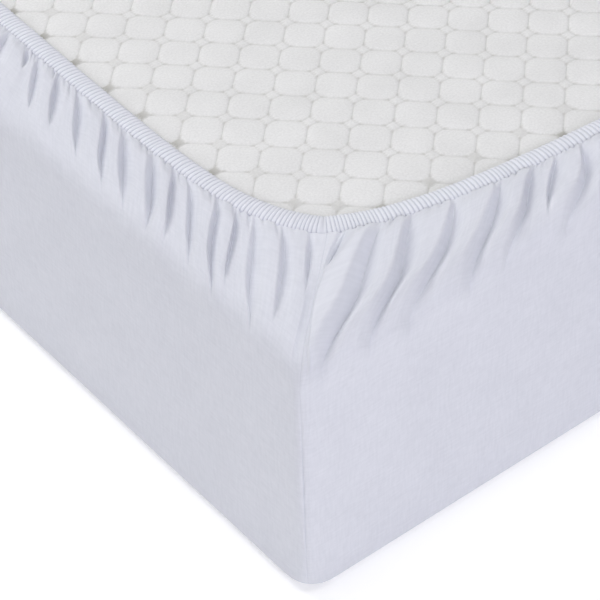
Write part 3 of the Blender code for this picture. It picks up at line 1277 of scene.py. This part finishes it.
    def joins(self, kept: np.ndarray, count: int, first_high: int) -> list[list[int]]:
        """Join the sides' last row to the skirt's first one, which has more lines.

        Args:
            kept: Numbers of the lines that go on down the sides.
            count: How many lines the skirt has.
            first_high: Number of the skirt's first vertex.

        Returns:
            The faces between the two rows.
        """
        last_low = first_high - len(kept)
        faces = []
        for here, start in enumerate(kept):
            ahead = (here + 1) % len(kept)
            stop = kept[ahead] if ahead else kept[0] + count
            upper = [first_high + line % count for line in range(start, stop + 1)]
            faces.append([last_low + here, last_low + ahead, *reversed(upper)])
        return faces

    def build(self, finish: WovenCotton) -> bpy.types.Object:
        """Build the whole cloth as one open surface.

        Args:
            finish: The cloth's finish.

        Returns:
            The sheet.
        """
        columns = self.plan.columns()
        count, kept = len(columns.hem), self.kept_lines(columns)
        low, low_up = self.sides(columns, kept)
        high, high_up, shade = self.skirt(columns)
        low_rows, high_rows = len(low), len(high)
        first_high = low_rows * len(kept)
        above = low_up[-1] + (high[0, 0, 2] - low[-1, 0, 2])
        ups = np.concatenate((np.repeat(low_up, len(kept)), np.repeat(above + high_up, count)))
        rounds = np.concatenate((np.tile(columns.edge[kept], low_rows), np.tile(columns.edge, high_rows)))
        quads = (grid_faces(low_rows, len(kept)), grid_faces(high_rows, count, first_high))
        panel = list(reversed(range(len(kept))))
        # Painted shade along the corner seams, down the sides and over the skirt, joined to the troughs'
        # painted shade
        stitched = np.zeros(count)
        stitched[columns.troughs[columns.seam]] = self.seam_painted_shade
        painted_shades = (np.tile(stitched[kept], low_rows), np.maximum(stitched, shade).ravel())
        fabric = Fabric(
            "fitted_sheet",
            np.concatenate((low.reshape(-1, 3), high.reshape(-1, 3))),
            np.stack((rounds, ups), axis=-1),
            np.concatenate(quads),
            np.concatenate(painted_shades),
            others=[*self.joins(kept, count, first_high), panel],
            round_length=self.plan.footprint.length,
        )
        return fabric.piece(finish.material())

    def dress(
        self, sheet: bpy.types.Object
    ) -> None:
        """Attach the sheet to the root body, and hide the frame's plain sheet.

        Args:
            sheet: The built sheet.
        """
        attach(sheet, "root")
        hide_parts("sheet")


@dataclass(frozen=True)
class SectionPoint:
    """A point of the casing's section, in millimetres.

    Attributes:
        inward: How far in from the stitches.
        height: How high above the mattress.
        relief: How much of a rib's height it takes.
        pinch: How far the stitches draw it in between two ribs.
    """

    inward: float
    height: float
    relief: float
    pinch: float = 0.0


# From the stitches over the top and back underneath, in the order inward, height, relief, pinch
CASING_SECTION = (
    SectionPoint(1.2, 1.6, 0.0),
    SectionPoint(0.4, 2.3, 0.2, 0.3),
    SectionPoint(-0.1, 3.2, 0.6, 0.6),
    SectionPoint(0.4, 4.3, 0.9, 0.6),
    SectionPoint(2.2, 5.4, 1.0, 0.3),
    SectionPoint(5.0, 6.1, 1.0),
    SectionPoint(9.0, 6.4, 1.0),
    SectionPoint(13.0, 6.2, 0.9),
    SectionPoint(16.8, 5.4, 0.8),
    SectionPoint(19.2, 3.9, 0.7),
    SectionPoint(19.8, 1.6, 0.4),
    SectionPoint(19.2, -1.2, 0.2),
    SectionPoint(15.0, -0.4, 0.0),
    SectionPoint(4.0, -0.4, 0.0),
)


@dataclass
class HemCasing:
    """The sheet's edge turned over elastic, drawn into fine ribs. One piece for each side.

    Attributes:
        hem_line: The centre line.
        top: Height of the mattress.
        rib_pitch: Usual width of a rib.
        corner_pitch: Width of a rib at a corner seam.
        corner_reach: How far from a corner seam the ribs are finer.
        rib_spread: How far a rib's width varies, as a share.
        rib_height: How high a rib stands.
        rib_lines: Where lines run across one rib, as shares, and how much of its height they have.
        rib_slant: How far a rib leans along the hem.
        slant_length: Length over which that changes.
        swell: How far the casing's height varies, as a share.
        swell_length: Length over which that changes.
        groove_painted_shade: How much painted shade lies between two ribs.
        seam_break: Half the flat stretch at a corner seam.
        seed: Seed of the random draw.
    """

    hem_line: HemLine
    top: float
    rib_pitch: float = 0.0053
    corner_pitch: float = 0.0035
    corner_reach: float = 0.10
    rib_spread: float = 0.14
    rib_height: tuple[float, float] = (0.0009, 0.0014)
    rib_lines: tuple[tuple[float, float], ...] = (
        (0.0, 0.0), (0.10, 0.38), (0.27, 0.82), (0.5, 1.0), (0.73, 0.82), (0.90, 0.38),
    )
    rib_slant: float = 0.0004
    slant_length: float = 0.09
    swell: float = 0.06
    swell_length: float = 0.07
    groove_painted_shade: float = 0.9
    seam_break: float = 0.0010
    seed: int = 23

    def ribs(self, start: float, stop: float, draw: random.Random) -> tuple[np.ndarray, np.ndarray]:
        """Lay the ribs of one side.

        Args:
            start: Real length of the line where the side's stretch starts.
            stop: Real length where it stops.
            draw: Source of their unevenness.

        Returns:
            Real lengths of the lines across, and how high each stands.
        """
        bounds = [start]
        while bounds[-1] < stop - self.rib_pitch / 2:
            to_seam = max(min(bounds[-1] - start, stop - bounds[-1]), 0.0)
            finer = (self.rib_pitch - self.corner_pitch) * math.exp(-to_seam / self.corner_reach)
            spread = 1 + draw.uniform(-self.rib_spread, self.rib_spread)
            bounds.append(bounds[-1] + (self.rib_pitch - finer) * spread)
        bounds = start + (np.array(bounds) - start) * (stop - start) / (bounds[-1] - start)
        lengths, heights = [], []
        for first, following in zip(bounds, bounds[1:]):
            tall = draw.uniform(*self.rib_height)
            for share, height in self.rib_lines:
                lengths.append(first + (following - first) * share)
                heights.append(height * tall)
        lengths.append(stop)
        heights.append(0.0)
        lengths, heights = np.array(lengths), np.array(heights)
        to_seam = np.minimum(lengths - start, stop - lengths)
        flat = smooth_step((to_seam - self.seam_break) / self.rib_pitch * 2)
        half_height = sum(self.rib_height) / 4
        return lengths, half_height + (heights - half_height) * flat

    def side_piece(self, index: int, finish: bpy.types.Material, draw: random.Random) -> bpy.types.Object:
        """Build the casing along one side, from corner seam to corner seam.

        Args:
            index: Number of the side.
            finish: The casing's material.
            draw: Source of the ribs' unevenness.

        Returns:
            The piece.
        """
        line = self.hem_line
        start, stop = line.length_at(np.array((line.start(index), line.start(index + 1))))
        lengths, heights = self.ribs(start, stop, draw)
        places = line.place_at(lengths)
        inward = line.inward_at(places)
        half_width = line.half_width(places)
        base = line.at(places, -half_width)
        slant = self.rib_slant * Ripples(self.seed, self.slant_length).at(lengths, 0.0)
        swell = 1 + self.swell * Ripples(self.seed + 1, self.swell_length).at(lengths, 0.0)
        section = np.array([(point.inward, point.height) for point in CASING_SECTION]) * MM
        stretch = 2 * half_width / section[:, 0].max()
        faces_out = unit(turned_left(np.gradient(section, axis=0)))
        ups = np.concatenate(([0.0], np.cumsum(np.linalg.norm(np.diff(section, axis=0), axis=1))))
        between = 1 - np.clip(heights / max(heights), 0.0, 1.0)
        rows, shades = [], []
        for point, (into, height), facing in zip(CASING_SECTION, section, faces_out):
            rib = heights * point.relief
            reach = into * stretch + facing[0] * rib + point.pinch * MM * between**2
            leaning = turned_left(inward) * (slant * into / half_width / 2)[:, None]
            level = self.top + height * swell + facing[1] * rib
            flat = base + inward * reach[:, None] - leaning
            rows.append(np.concatenate((flat, level[:, None]), axis=1))
            # Painted shade between the ribs, where the cloth dips
            shades.append(self.groove_painted_shade * point.relief * between**3)
        fabric = Fabric(
            f"hem_{line.footprint.sides[index].name.value}",
            np.concatenate(rows),
            np.stack((np.tile(lengths, len(rows)), np.repeat(ups, len(lengths))), axis=-1),
            grid_faces(len(rows), len(lengths), closed=False),
            np.concatenate(shades),
        )
        piece = fabric.piece(finish)
        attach(piece, "root")
        return piece

    def build(self, finish: WovenCotton) -> list[bpy.types.Object]:
        """Build the casing's four stretches.

        Args:
            finish: The cloth's finish.

        Returns:
            The pieces, in the order of the sides.
        """
        draw = random.Random(self.seed)
        material = finish.material()
        return [self.side_piece(index, material, draw) for index in range(len(self.hem_line.footprint.sides))]


# The mattress


@dataclass
class QuiltedPanel:
    """The knitted panel on the mattress's upper face, quilted in eight-sided puffs and small squares.

    Attributes:
        hem_line: The hem that presses it down.
        top: Height of the mattress.
        pitch: Spacing of the small squares along the diagonals.
        anchor: Plan point of one small square.
        heading: Direction of the rows of squares, in degrees.
        square: Half the diagonal of a small square.
        groove_drop: How far the grooves lie below the mattress's top.
        puff: Height of a puff's shoulder above the grooves.
        puff_edge: How far in the shoulder lies.
        dome: Height of its middle above the shoulder.
        dome_reach: How far in the middle lies.
        square_puff: Height of a small square.
        groove_width: Half the width of the stitched line.
        groove_painted_shade: How much painted shade lies along the stitched line.
        pucker_width: Size of the puckers at the squares' corners.
        pucker_painted_shade: How much painted shade lies in them.
        sunk_square_painted_shade: How much painted shade the squares get where the hem presses the panel
            down.
        sunk_painted_shade: How much painted shade all of it gets there.
        border: Distance of the panel's rim from the mattress's sides.
        thickness: Thickness under the lowest groove.
        dip: How far the hem presses the panel down.
        dip_edge: How far in from the hem's centre line it presses fully.
        dip_reach: How much further the panel takes to rise again.
        lines: Where grid lines run beside a groove.
        stretches: How many pieces the panel is cut into.
        rim_angle: Angle from which an edge is sharp, as at the rim.
        uneven: Height of the slow unevenness.
        uneven_length: Its length.
        seed: Seed of the random draw.
    """

    hem_line: HemLine
    top: float
    pitch: float = 0.0424
    anchor: tuple[float, float] = (-0.5031, -0.3155)
    heading: float = -45.1
    square: float = 0.0083
    groove_drop: float = 0.0020
    puff: float = 0.0008
    puff_edge: float = 0.0009
    dome: float = 0.0012
    dome_reach: float = 0.010
    square_puff: float = 0.0012
    groove_width: float = 0.0007
    groove_painted_shade: float = 0.21
    pucker_width: float = 0.0017
    pucker_painted_shade: float = 0.42
    sunk_square_painted_shade: float = 1.1
    sunk_painted_shade: float = 0.30
    border: float = 0.066
    thickness: float = 0.006
    dip: float = 0.0038
    dip_edge: float = 0.008
    dip_reach: float = 0.020
    lines: tuple[float, ...] = (0.0, 0.0009, 0.0028, 0.0055, 0.0074, 0.0083, 0.0140)
    stretches: int = 3
    rim_angle: float = math.radians(50)
    uneven: float = 0.0004
    uneven_length: float = 0.12
    seed: int = 5

    def offsets(self) -> np.ndarray:
        """Where grid lines run across one cell, denser beside its grooves."""
        near = np.array(self.lines)
        return np.concatenate((near, [self.pitch / 2], self.pitch - near[:0:-1]))

    def from_grooves(self, across: np.ndarray, along: np.ndarray) -> tuple[np.ndarray, ...]:
        """Measure each place against the grooves.

        Args:
            across: Distance across the rows of squares, from one square.
            along: Distance along them.

        Returns:
            How far each place lies from the nearest groove, how far outside its small square, and how
            far from that square's nearest corner.
        """
        half = self.pitch / 2
        to_row, to_column = (np.abs(np.mod(place + half, self.pitch) - half) for place in (across, along))
        near, far = np.minimum(to_row, to_column), np.maximum(to_row, to_column)
        to_square = (to_row + to_column - self.square) / math.sqrt(2)
        to_corner = np.hypot(near, far - self.square)
        return np.where(to_square > 0, np.minimum(near, to_square), -to_square), to_square, to_corner

    def relief(self, across: np.ndarray, along: np.ndarray) -> np.ndarray:
        """Height of the quilting above its grooves.

        Args:
            across: Distance across the rows of squares, from one square.
            along: Distance along them.

        Returns:
            The height of each point.
        """
        inside, to_square, _ = self.from_grooves(across, along)
        shoulder = 1 - np.exp(-inside / self.puff_edge)
        dome = self.dome * (1 - np.exp(-inside / self.dome_reach))
        return np.where(to_square > 0, self.puff * shoulder + dome, self.square_puff * shoulder)

    def painted_shades(self, across: np.ndarray, along: np.ndarray, sunk: np.ndarray) -> np.ndarray:
        """How much painted shade each place gets, from 0 to 1.

        Args:
            across: Distance across the rows of squares, from one square.
            along: Distance along them.
            sunk: How far the hem presses each place down, from 0 to 1.

        Returns:
            The painted shade: along the stitched line, in the puckers at the squares' corners, and on the
                squares that the hem presses down.
        """
        inside, to_square, to_corner = self.from_grooves(across, along)
        # Painted shade along the stitched lines, in the puckers, and beside the hem where the panel is
        # pressed down
        line = self.groove_painted_shade * np.exp(-((inside / self.groove_width) ** 2))
        pucker = self.pucker_painted_shade * np.exp(-((to_corner / self.pucker_width) ** 2))
        in_square = np.clip(-to_square / self.pucker_width, 0.0, 1.0)
        pressed = self.sunk_square_painted_shade * sunk * in_square + self.sunk_painted_shade * sunk**3
        return np.clip(np.maximum(np.maximum(line, pucker), pressed), 0.0, 1.0)

    def press(self, points: np.ndarray) -> np.ndarray:
        """How far the hem presses each plan point down."""
        gaps = []
        for side in self.hem_line.footprint.sides:
            offset = points - np.array(side.corner)
            distance, inset = offset @ np.array(side.along), offset @ side.inward()
            hem = side.hem_inset(np.clip(distance, 0, side.length), self.hem_line.corner_inset)
            gaps.append(inset - hem)
        gap = np.maximum(np.min(gaps, axis=0) - self.dip_edge, 0.0)
        return self.dip * np.exp(-gap / self.dip_reach)

    def build(self, finish: KnittedTicking) -> list[bpy.types.Object]:
        """Build the panel as thin closed bodies that meet along its length.

        Args:
            finish: The ticking's finish.

        Returns:
            The stretches, from the front to the back.
        """
        low, high = (np.array(corner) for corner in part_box("mattress"))
        inner_low, inner_high = low[:2] + self.border, high[:2] - self.border
        cuts = np.linspace(inner_low[1], inner_high[1], self.stretches + 1)
        material = finish.material()
        return [
            self.stretch(
                f"mattress_panel_{number}",
                np.array((inner_low[0], start)),
                np.array((inner_high[0], stop)),
                material,
            )
            for number, (start, stop) in enumerate(zip(cuts, cuts[1:]), 1)
        ]

    def stretch(
        self, name: str, low: np.ndarray, high: np.ndarray, material: bpy.types.Material
    ) -> bpy.types.Object:
        """Build the part of the panel inside one rectangle.

        Args:
            name: The piece's name.
            low: The rectangle's lowest corner.
            high: Its highest corner.
            material: The panel's finish.

        Returns:
            The piece.
        """
        reach = math.hypot(*np.maximum(np.abs(low - self.anchor), np.abs(high - self.anchor)))
        cells = math.ceil(reach / self.pitch) + 1
        starts = np.arange(-cells, cells + 1) * self.pitch
        lines = (starts[:, None] + self.offsets()[None, :]).ravel()
        angle = math.radians(self.heading)
        row_way = np.array((math.cos(angle), math.sin(angle)))
        column_way = np.array((math.sin(angle), -math.cos(angle)))
        across, along = np.meshgrid(lines, lines, indexing="ij")
        plan = np.array(self.anchor) + along[..., None] * row_way + across[..., None] * column_way
        quads = grid_faces(len(lines), len(lines), closed=False)[:, ::-1]
        flat = plan.reshape(-1, 2)
        centre = flat[quads].mean(axis=1)
        margin = max(np.diff(self.offsets()))
        quads = quads[((centre > low - margin) & (centre < high + margin)).all(axis=1)]
        used, numbered = np.unique(quads, return_inverse=True)
        flat, across, along = flat[used], across.ravel()[used], along.ravel()[used]
        height = self.top - self.groove_drop + self.relief(across, along) - self.press(flat)
        height = height + self.uneven * Ripples(self.seed, self.uneven_length).at(flat[:, 0], flat[:, 1])
        # Painted shade of the quilting, carried on each vertex
        grooves = self.painted_shades(across, along, self.press(flat) / self.dip)
        points = np.concatenate((flat, height[:, None]), axis=1)
        panel = Fabric(name, points, flat.copy(), numbered.reshape(-1, 4), grooves).piece(material)
        self.trim(panel, low, high)
        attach(panel, "root")
        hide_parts("mattress")
        return panel

    def trim(self, panel: bpy.types.Object, low: np.ndarray, high: np.ndarray) -> None:
        """Cut the panel to its rectangle and close its edge and underside.

        Args:
            panel: The piece.
            low: The rectangle's lowest corner.
            high: Its highest corner.
        """
        bm = bmesh.new()
        bm.from_mesh(panel.data)
        for corner, facing in ((low, (-1, 0, 0)), (high, (1, 0, 0)), (low, (0, -1, 0)), (high, (0, 1, 0))):
            geometry, place = bm.verts[:] + bm.edges[:] + bm.faces[:], (*corner, 0)
            bmesh.ops.bisect_plane(bm, geom=geometry, plane_co=place, plane_no=facing, clear_outer=True)
        rim = [edge for edge in bm.edges if edge.is_boundary]
        skirt = bmesh.ops.extrude_edge_only(bm, edges=rim)["geom"]
        for item in skirt:
            if isinstance(item, bmesh.types.BMVert):
                item.co.z = self.top - self.groove_drop - self.dip - self.thickness
        under = [item for item in skirt if isinstance(item, bmesh.types.BMEdge) and item.is_boundary]
        bmesh.ops.contextual_create(bm, geom=under)
        bmesh.ops.recalc_face_normals(bm, faces=bm.faces)
        bm.to_mesh(panel.data)
        bm.free()
        panel.data.shade_smooth()
        panel.data.set_sharp_from_angle(angle=self.rim_angle)


@dataclass
class MattressBody:
    """The mattress under its panel, plain and rounded, which the sheet hides.

    Attributes:
        corner_radius: Rounding of the upright corners.
        edge_radius: Rounding of the upper and lower edges.
        drop: How far its upper face lies below the panel's grooves.
        steps: Segments of each rounding.
    """

    corner_radius: float = 0.044
    edge_radius: float = 0.027
    drop: float = 0.010
    steps: int = 6

    def is_upright(self, edge: bmesh.types.BMEdge) -> bool:
        """Whether an edge goes up rather than along."""
        return abs(edge.verts[0].co.z - edge.verts[1].co.z) > MM

    def build(self, finish: KnittedTicking) -> bpy.types.Object:
        """Build the body.

        Args:
            finish: The ticking's finish.

        Returns:
            The body.
        """
        low, high = (Vector(corner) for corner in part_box("mattress"))
        high.z -= self.drop
        size, middle = high - low, (high + low) / 2
        bm = bmesh.new()
        bmesh.ops.create_cube(bm, size=1.0)
        bmesh.ops.scale(bm, vec=size, verts=bm.verts)
        bmesh.ops.translate(bm, vec=middle, verts=bm.verts)
        for upright, radius in ((True, self.corner_radius), (False, self.edge_radius)):
            edges = [edge for edge in bm.edges if upright == self.is_upright(edge)]
            bmesh.ops.bevel(bm, geom=edges, offset=radius, segments=self.steps, profile=0.5, affect="EDGES")
        mesh = bpy.data.meshes.new("mattress_body")
        layer = bm.loops.layers.uv.new(CLOTH_MAP)
        for face in bm.faces:
            for loop in face.loops:
                co = loop.vert.co
                loop[layer].uv = (co.x + co.y, co.z)
        bm.to_mesh(mesh)
        bm.free()
        mesh.materials.append(finish.material())
        mesh.shade_smooth()
        body = added("mattress_body", mesh)
        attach(body, "root")
        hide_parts("mattress")
        return body


# The studio


@dataclass(frozen=True)
class Softbox:
    """A large soft lamp that points at the seen corner.

    Attributes:
        name: Its name.
        heading: Plan direction from the corner to the lamp, in degrees from +X.
        elevation: How high it stands, in degrees.
        power: Its power in watts.
        colour: Its colour.
        distance: How far it stands from the corner.
        size: Length of its square side.
        aim: The place that it points at.
    """

    name: str
    heading: float
    elevation: float
    power: float
    colour: tuple[float, float, float] = (1.0, 1.0, 1.0)
    distance: float = 3.5
    size: float = 1.6
    aim: tuple[float, float, float] = (-0.5, -0.7, 0.25)

    def hang(self) -> None:
        """Add the lamp to the scene."""
        lamp = bpy.data.lights.new(self.name, "AREA")
        lamp.shape = "SQUARE"
        lamp.size = self.size
        lamp.energy = self.power
        lamp.color = self.colour
        heading, elevation = math.radians(self.heading), math.radians(self.elevation)
        level = math.cos(elevation)
        way = Vector((level * math.cos(heading), level * math.sin(heading), math.sin(elevation)))
        holder = added(self.name, lamp)
        holder.location = Vector(self.aim) + way * self.distance
        holder.rotation_mode = "QUATERNION"
        holder.rotation_quaternion = (-way).to_track_quat("-Z", "Y")


@dataclass(frozen=True)
class Viewpoint:
    """The camera, at the photograph's angle.

    Attributes:
        place: Where it stands.
        yaw: Plan direction it looks in, in degrees from +X.
        pitch: How far it looks up, in degrees.
        roll: How far it is tipped, in degrees.
        lens: Focal length in millimetres.
        sensor: Width of the sensor in millimetres.
        clip: Nearest and farthest distance that it sees.
    """

    place: tuple[float, float, float] = (-1.61499, -2.18688, 1.78117)
    yaw: float = 52.692
    pitch: float = -41.850
    roll: float = -1.980
    lens: float = 143.597
    sensor: float = 36.0
    clip: tuple[float, float] = (0.05, 60.0)

    def stand(self) -> None:
        """Add the camera and make it the scene's own."""
        yaw, pitch, roll = (math.radians(angle) for angle in (self.yaw, self.pitch, self.roll))
        ahead = Vector((math.cos(pitch) * math.cos(yaw), math.cos(pitch) * math.sin(yaw), math.sin(pitch)))
        level = ahead.cross(Vector((0, 0, 1))).normalized()
        above = level.cross(ahead)
        right = level * math.cos(roll) + above * math.sin(roll)
        up = right.cross(ahead)
        data = bpy.data.cameras.new("photo_view")
        data.lens = self.lens
        data.sensor_width = self.sensor
        data.clip_start, data.clip_end = self.clip
        camera = added("photo_view", data)
        turned = Matrix((right, up, -ahead)).transposed().to_4x4()
        camera.matrix_world = Matrix.Translation(self.place) @ turned
        bpy.context.scene.camera = camera


@dataclass
class Studio:
    """The floor, the lamps, the sky and the camera.

    Attributes:
        lamps: The softboxes.
        sky: Brightness of the even light from all round.
        floor_size: Length of the floor's side.
        floor_cells: Cells along it.
        floor_level: Height of the floor.
        viewpoint: The camera.
    """

    lamps: tuple[Softbox, ...] = (
        Softbox("left", heading=142.7, elevation=25, power=12.5),
        Softbox("behind_left_low", heading=97.7, elevation=25, power=36.0),
        Softbox("behind_left_high", heading=97.7, elevation=45, power=27.0),
        Softbox("front", heading=-127.3, elevation=30, power=41.0, colour=(1.0, 0.99, 1.03)),
        Softbox("front_right", heading=-82.3, elevation=20, power=15.0, colour=(1.0, 0.97, 1.12)),
        Softbox("right", heading=-37.3, elevation=45, power=23.0),
        Softbox("top", heading=-127.3, elevation=89, power=41.0),
    )
    sky: float = 0.10
    floor_size: float = 30.0
    floor_cells: int = 8
    floor_level: float = -0.0004
    viewpoint: Viewpoint = Viewpoint()

    def lay_floor(self, finish: PaleFloor) -> None:
        """Add the floor, as a grid that isn't part of the object.

        Args:
            finish: The floor's finish.
        """
        bm = bmesh.new()
        cells, half = self.floor_cells, self.floor_size / 2
        bmesh.ops.create_grid(bm, x_segments=cells, y_segments=cells, size=half)
        mesh = bpy.data.meshes.new("floor")
        bm.to_mesh(mesh)
        bm.free()
        mesh.materials.append(finish.material())
        floor = added("floor", mesh)
        floor.location.z = self.floor_level

    def build(self, floor: PaleFloor) -> None:
        """Set up everything that isn't part of the object.

        Args:
            floor: The floor's finish.
        """
        self.lay_floor(floor)
        for lamp in self.lamps:
            lamp.hang()
        world = bpy.data.worlds.new("studio")
        world.use_nodes = True
        sky = world.node_tree.nodes["Background"]
        sky.inputs["Color"].default_value = (1.0, 1.0, 1.0, 1.0)
        sky.inputs["Strength"].default_value = self.sky
        bpy.context.scene.world = world
        bpy.context.scene.view_settings.view_transform = "Standard"
        self.viewpoint.stand()


# The hem's course beside each side. Beside the front left corner it follows the photograph
HEM_SHAPES = {
    SideName.FRONT: HemShape(start=86.6, start_reach=83.6, middle=71.4, end=86, end_reach=64, casing=20.5),
    SideName.RIGHT: HemShape(start=83, start_reach=60, middle=104, end=80, end_reach=72, casing=18.5),
    SideName.BACK: HemShape(start=85, start_reach=70, middle=76, end=81, end_reach=58, casing=20),
    SideName.LEFT: HemShape(start=84.5, start_reach=76, middle=104.3, end=87.7, end_reach=62, casing=22),
}


def footprint_of(low: Vector, high: Vector) -> Footprint:
    """The outline of the covered mattress.

    Args:
        low: Lowest corner of the sheet's box in the frame.
        high: Its highest corner.

    Returns:
        The outline, with the hem's course beside each side.
    """
    width, length = high.x - low.x, high.y - low.y
    corners = ((low.x, low.y), (high.x, low.y), (high.x, high.y), (low.x, high.y))
    ways = ((1, 0), (0, 1), (-1, 0), (0, -1))
    courses = zip(HEM_SHAPES.items(), corners, ways, (width, length, width, length))
    return Footprint(tuple(Side(name, corner, way, span, hem) for (name, hem), corner, way, span in courses))


def report(piece: bpy.types.Object) -> None:
    """Log a finished piece."""
    LOG.info("%s: %d vertices, %d faces", piece.name, len(piece.data.vertices), len(piece.data.polygons))


def main() -> None:
    """Build the sheet on its mattress, and the studio round it."""
    logging.basicConfig(level=logging.INFO, format="%(name)s %(message)s")
    footprint = footprint_of(*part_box("sheet"))
    hem_line = HemLine(footprint)
    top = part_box("mattress")[1].z
    cotton, ticking = WovenCotton(), KnittedTicking()

    mattress = [*QuiltedPanel(hem_line, top).build(ticking), MattressBody().build(ticking)]
    # A lighter, more even copy of the sheet's cotton for the casing: its extra lightness is painted light
    hem_cotton_painted_lighter = WovenCotton("hem_cotton_painted_lighter", dark=(0.705, 0.720, 0.780), light=(0.765, 0.775, 0.835))
    casing = HemCasing(hem_line, top).build(hem_cotton_painted_lighter)
    sheet = FittedSheet(FoldPlan(footprint, hem_line), top)
    cloth = sheet.build(cotton)
    sheet.dress(cloth)
    for piece in (*mattress, *casing, cloth):
        report(piece)

    Studio().build(PaleFloor())


if __name__ == "__main__":
    main()
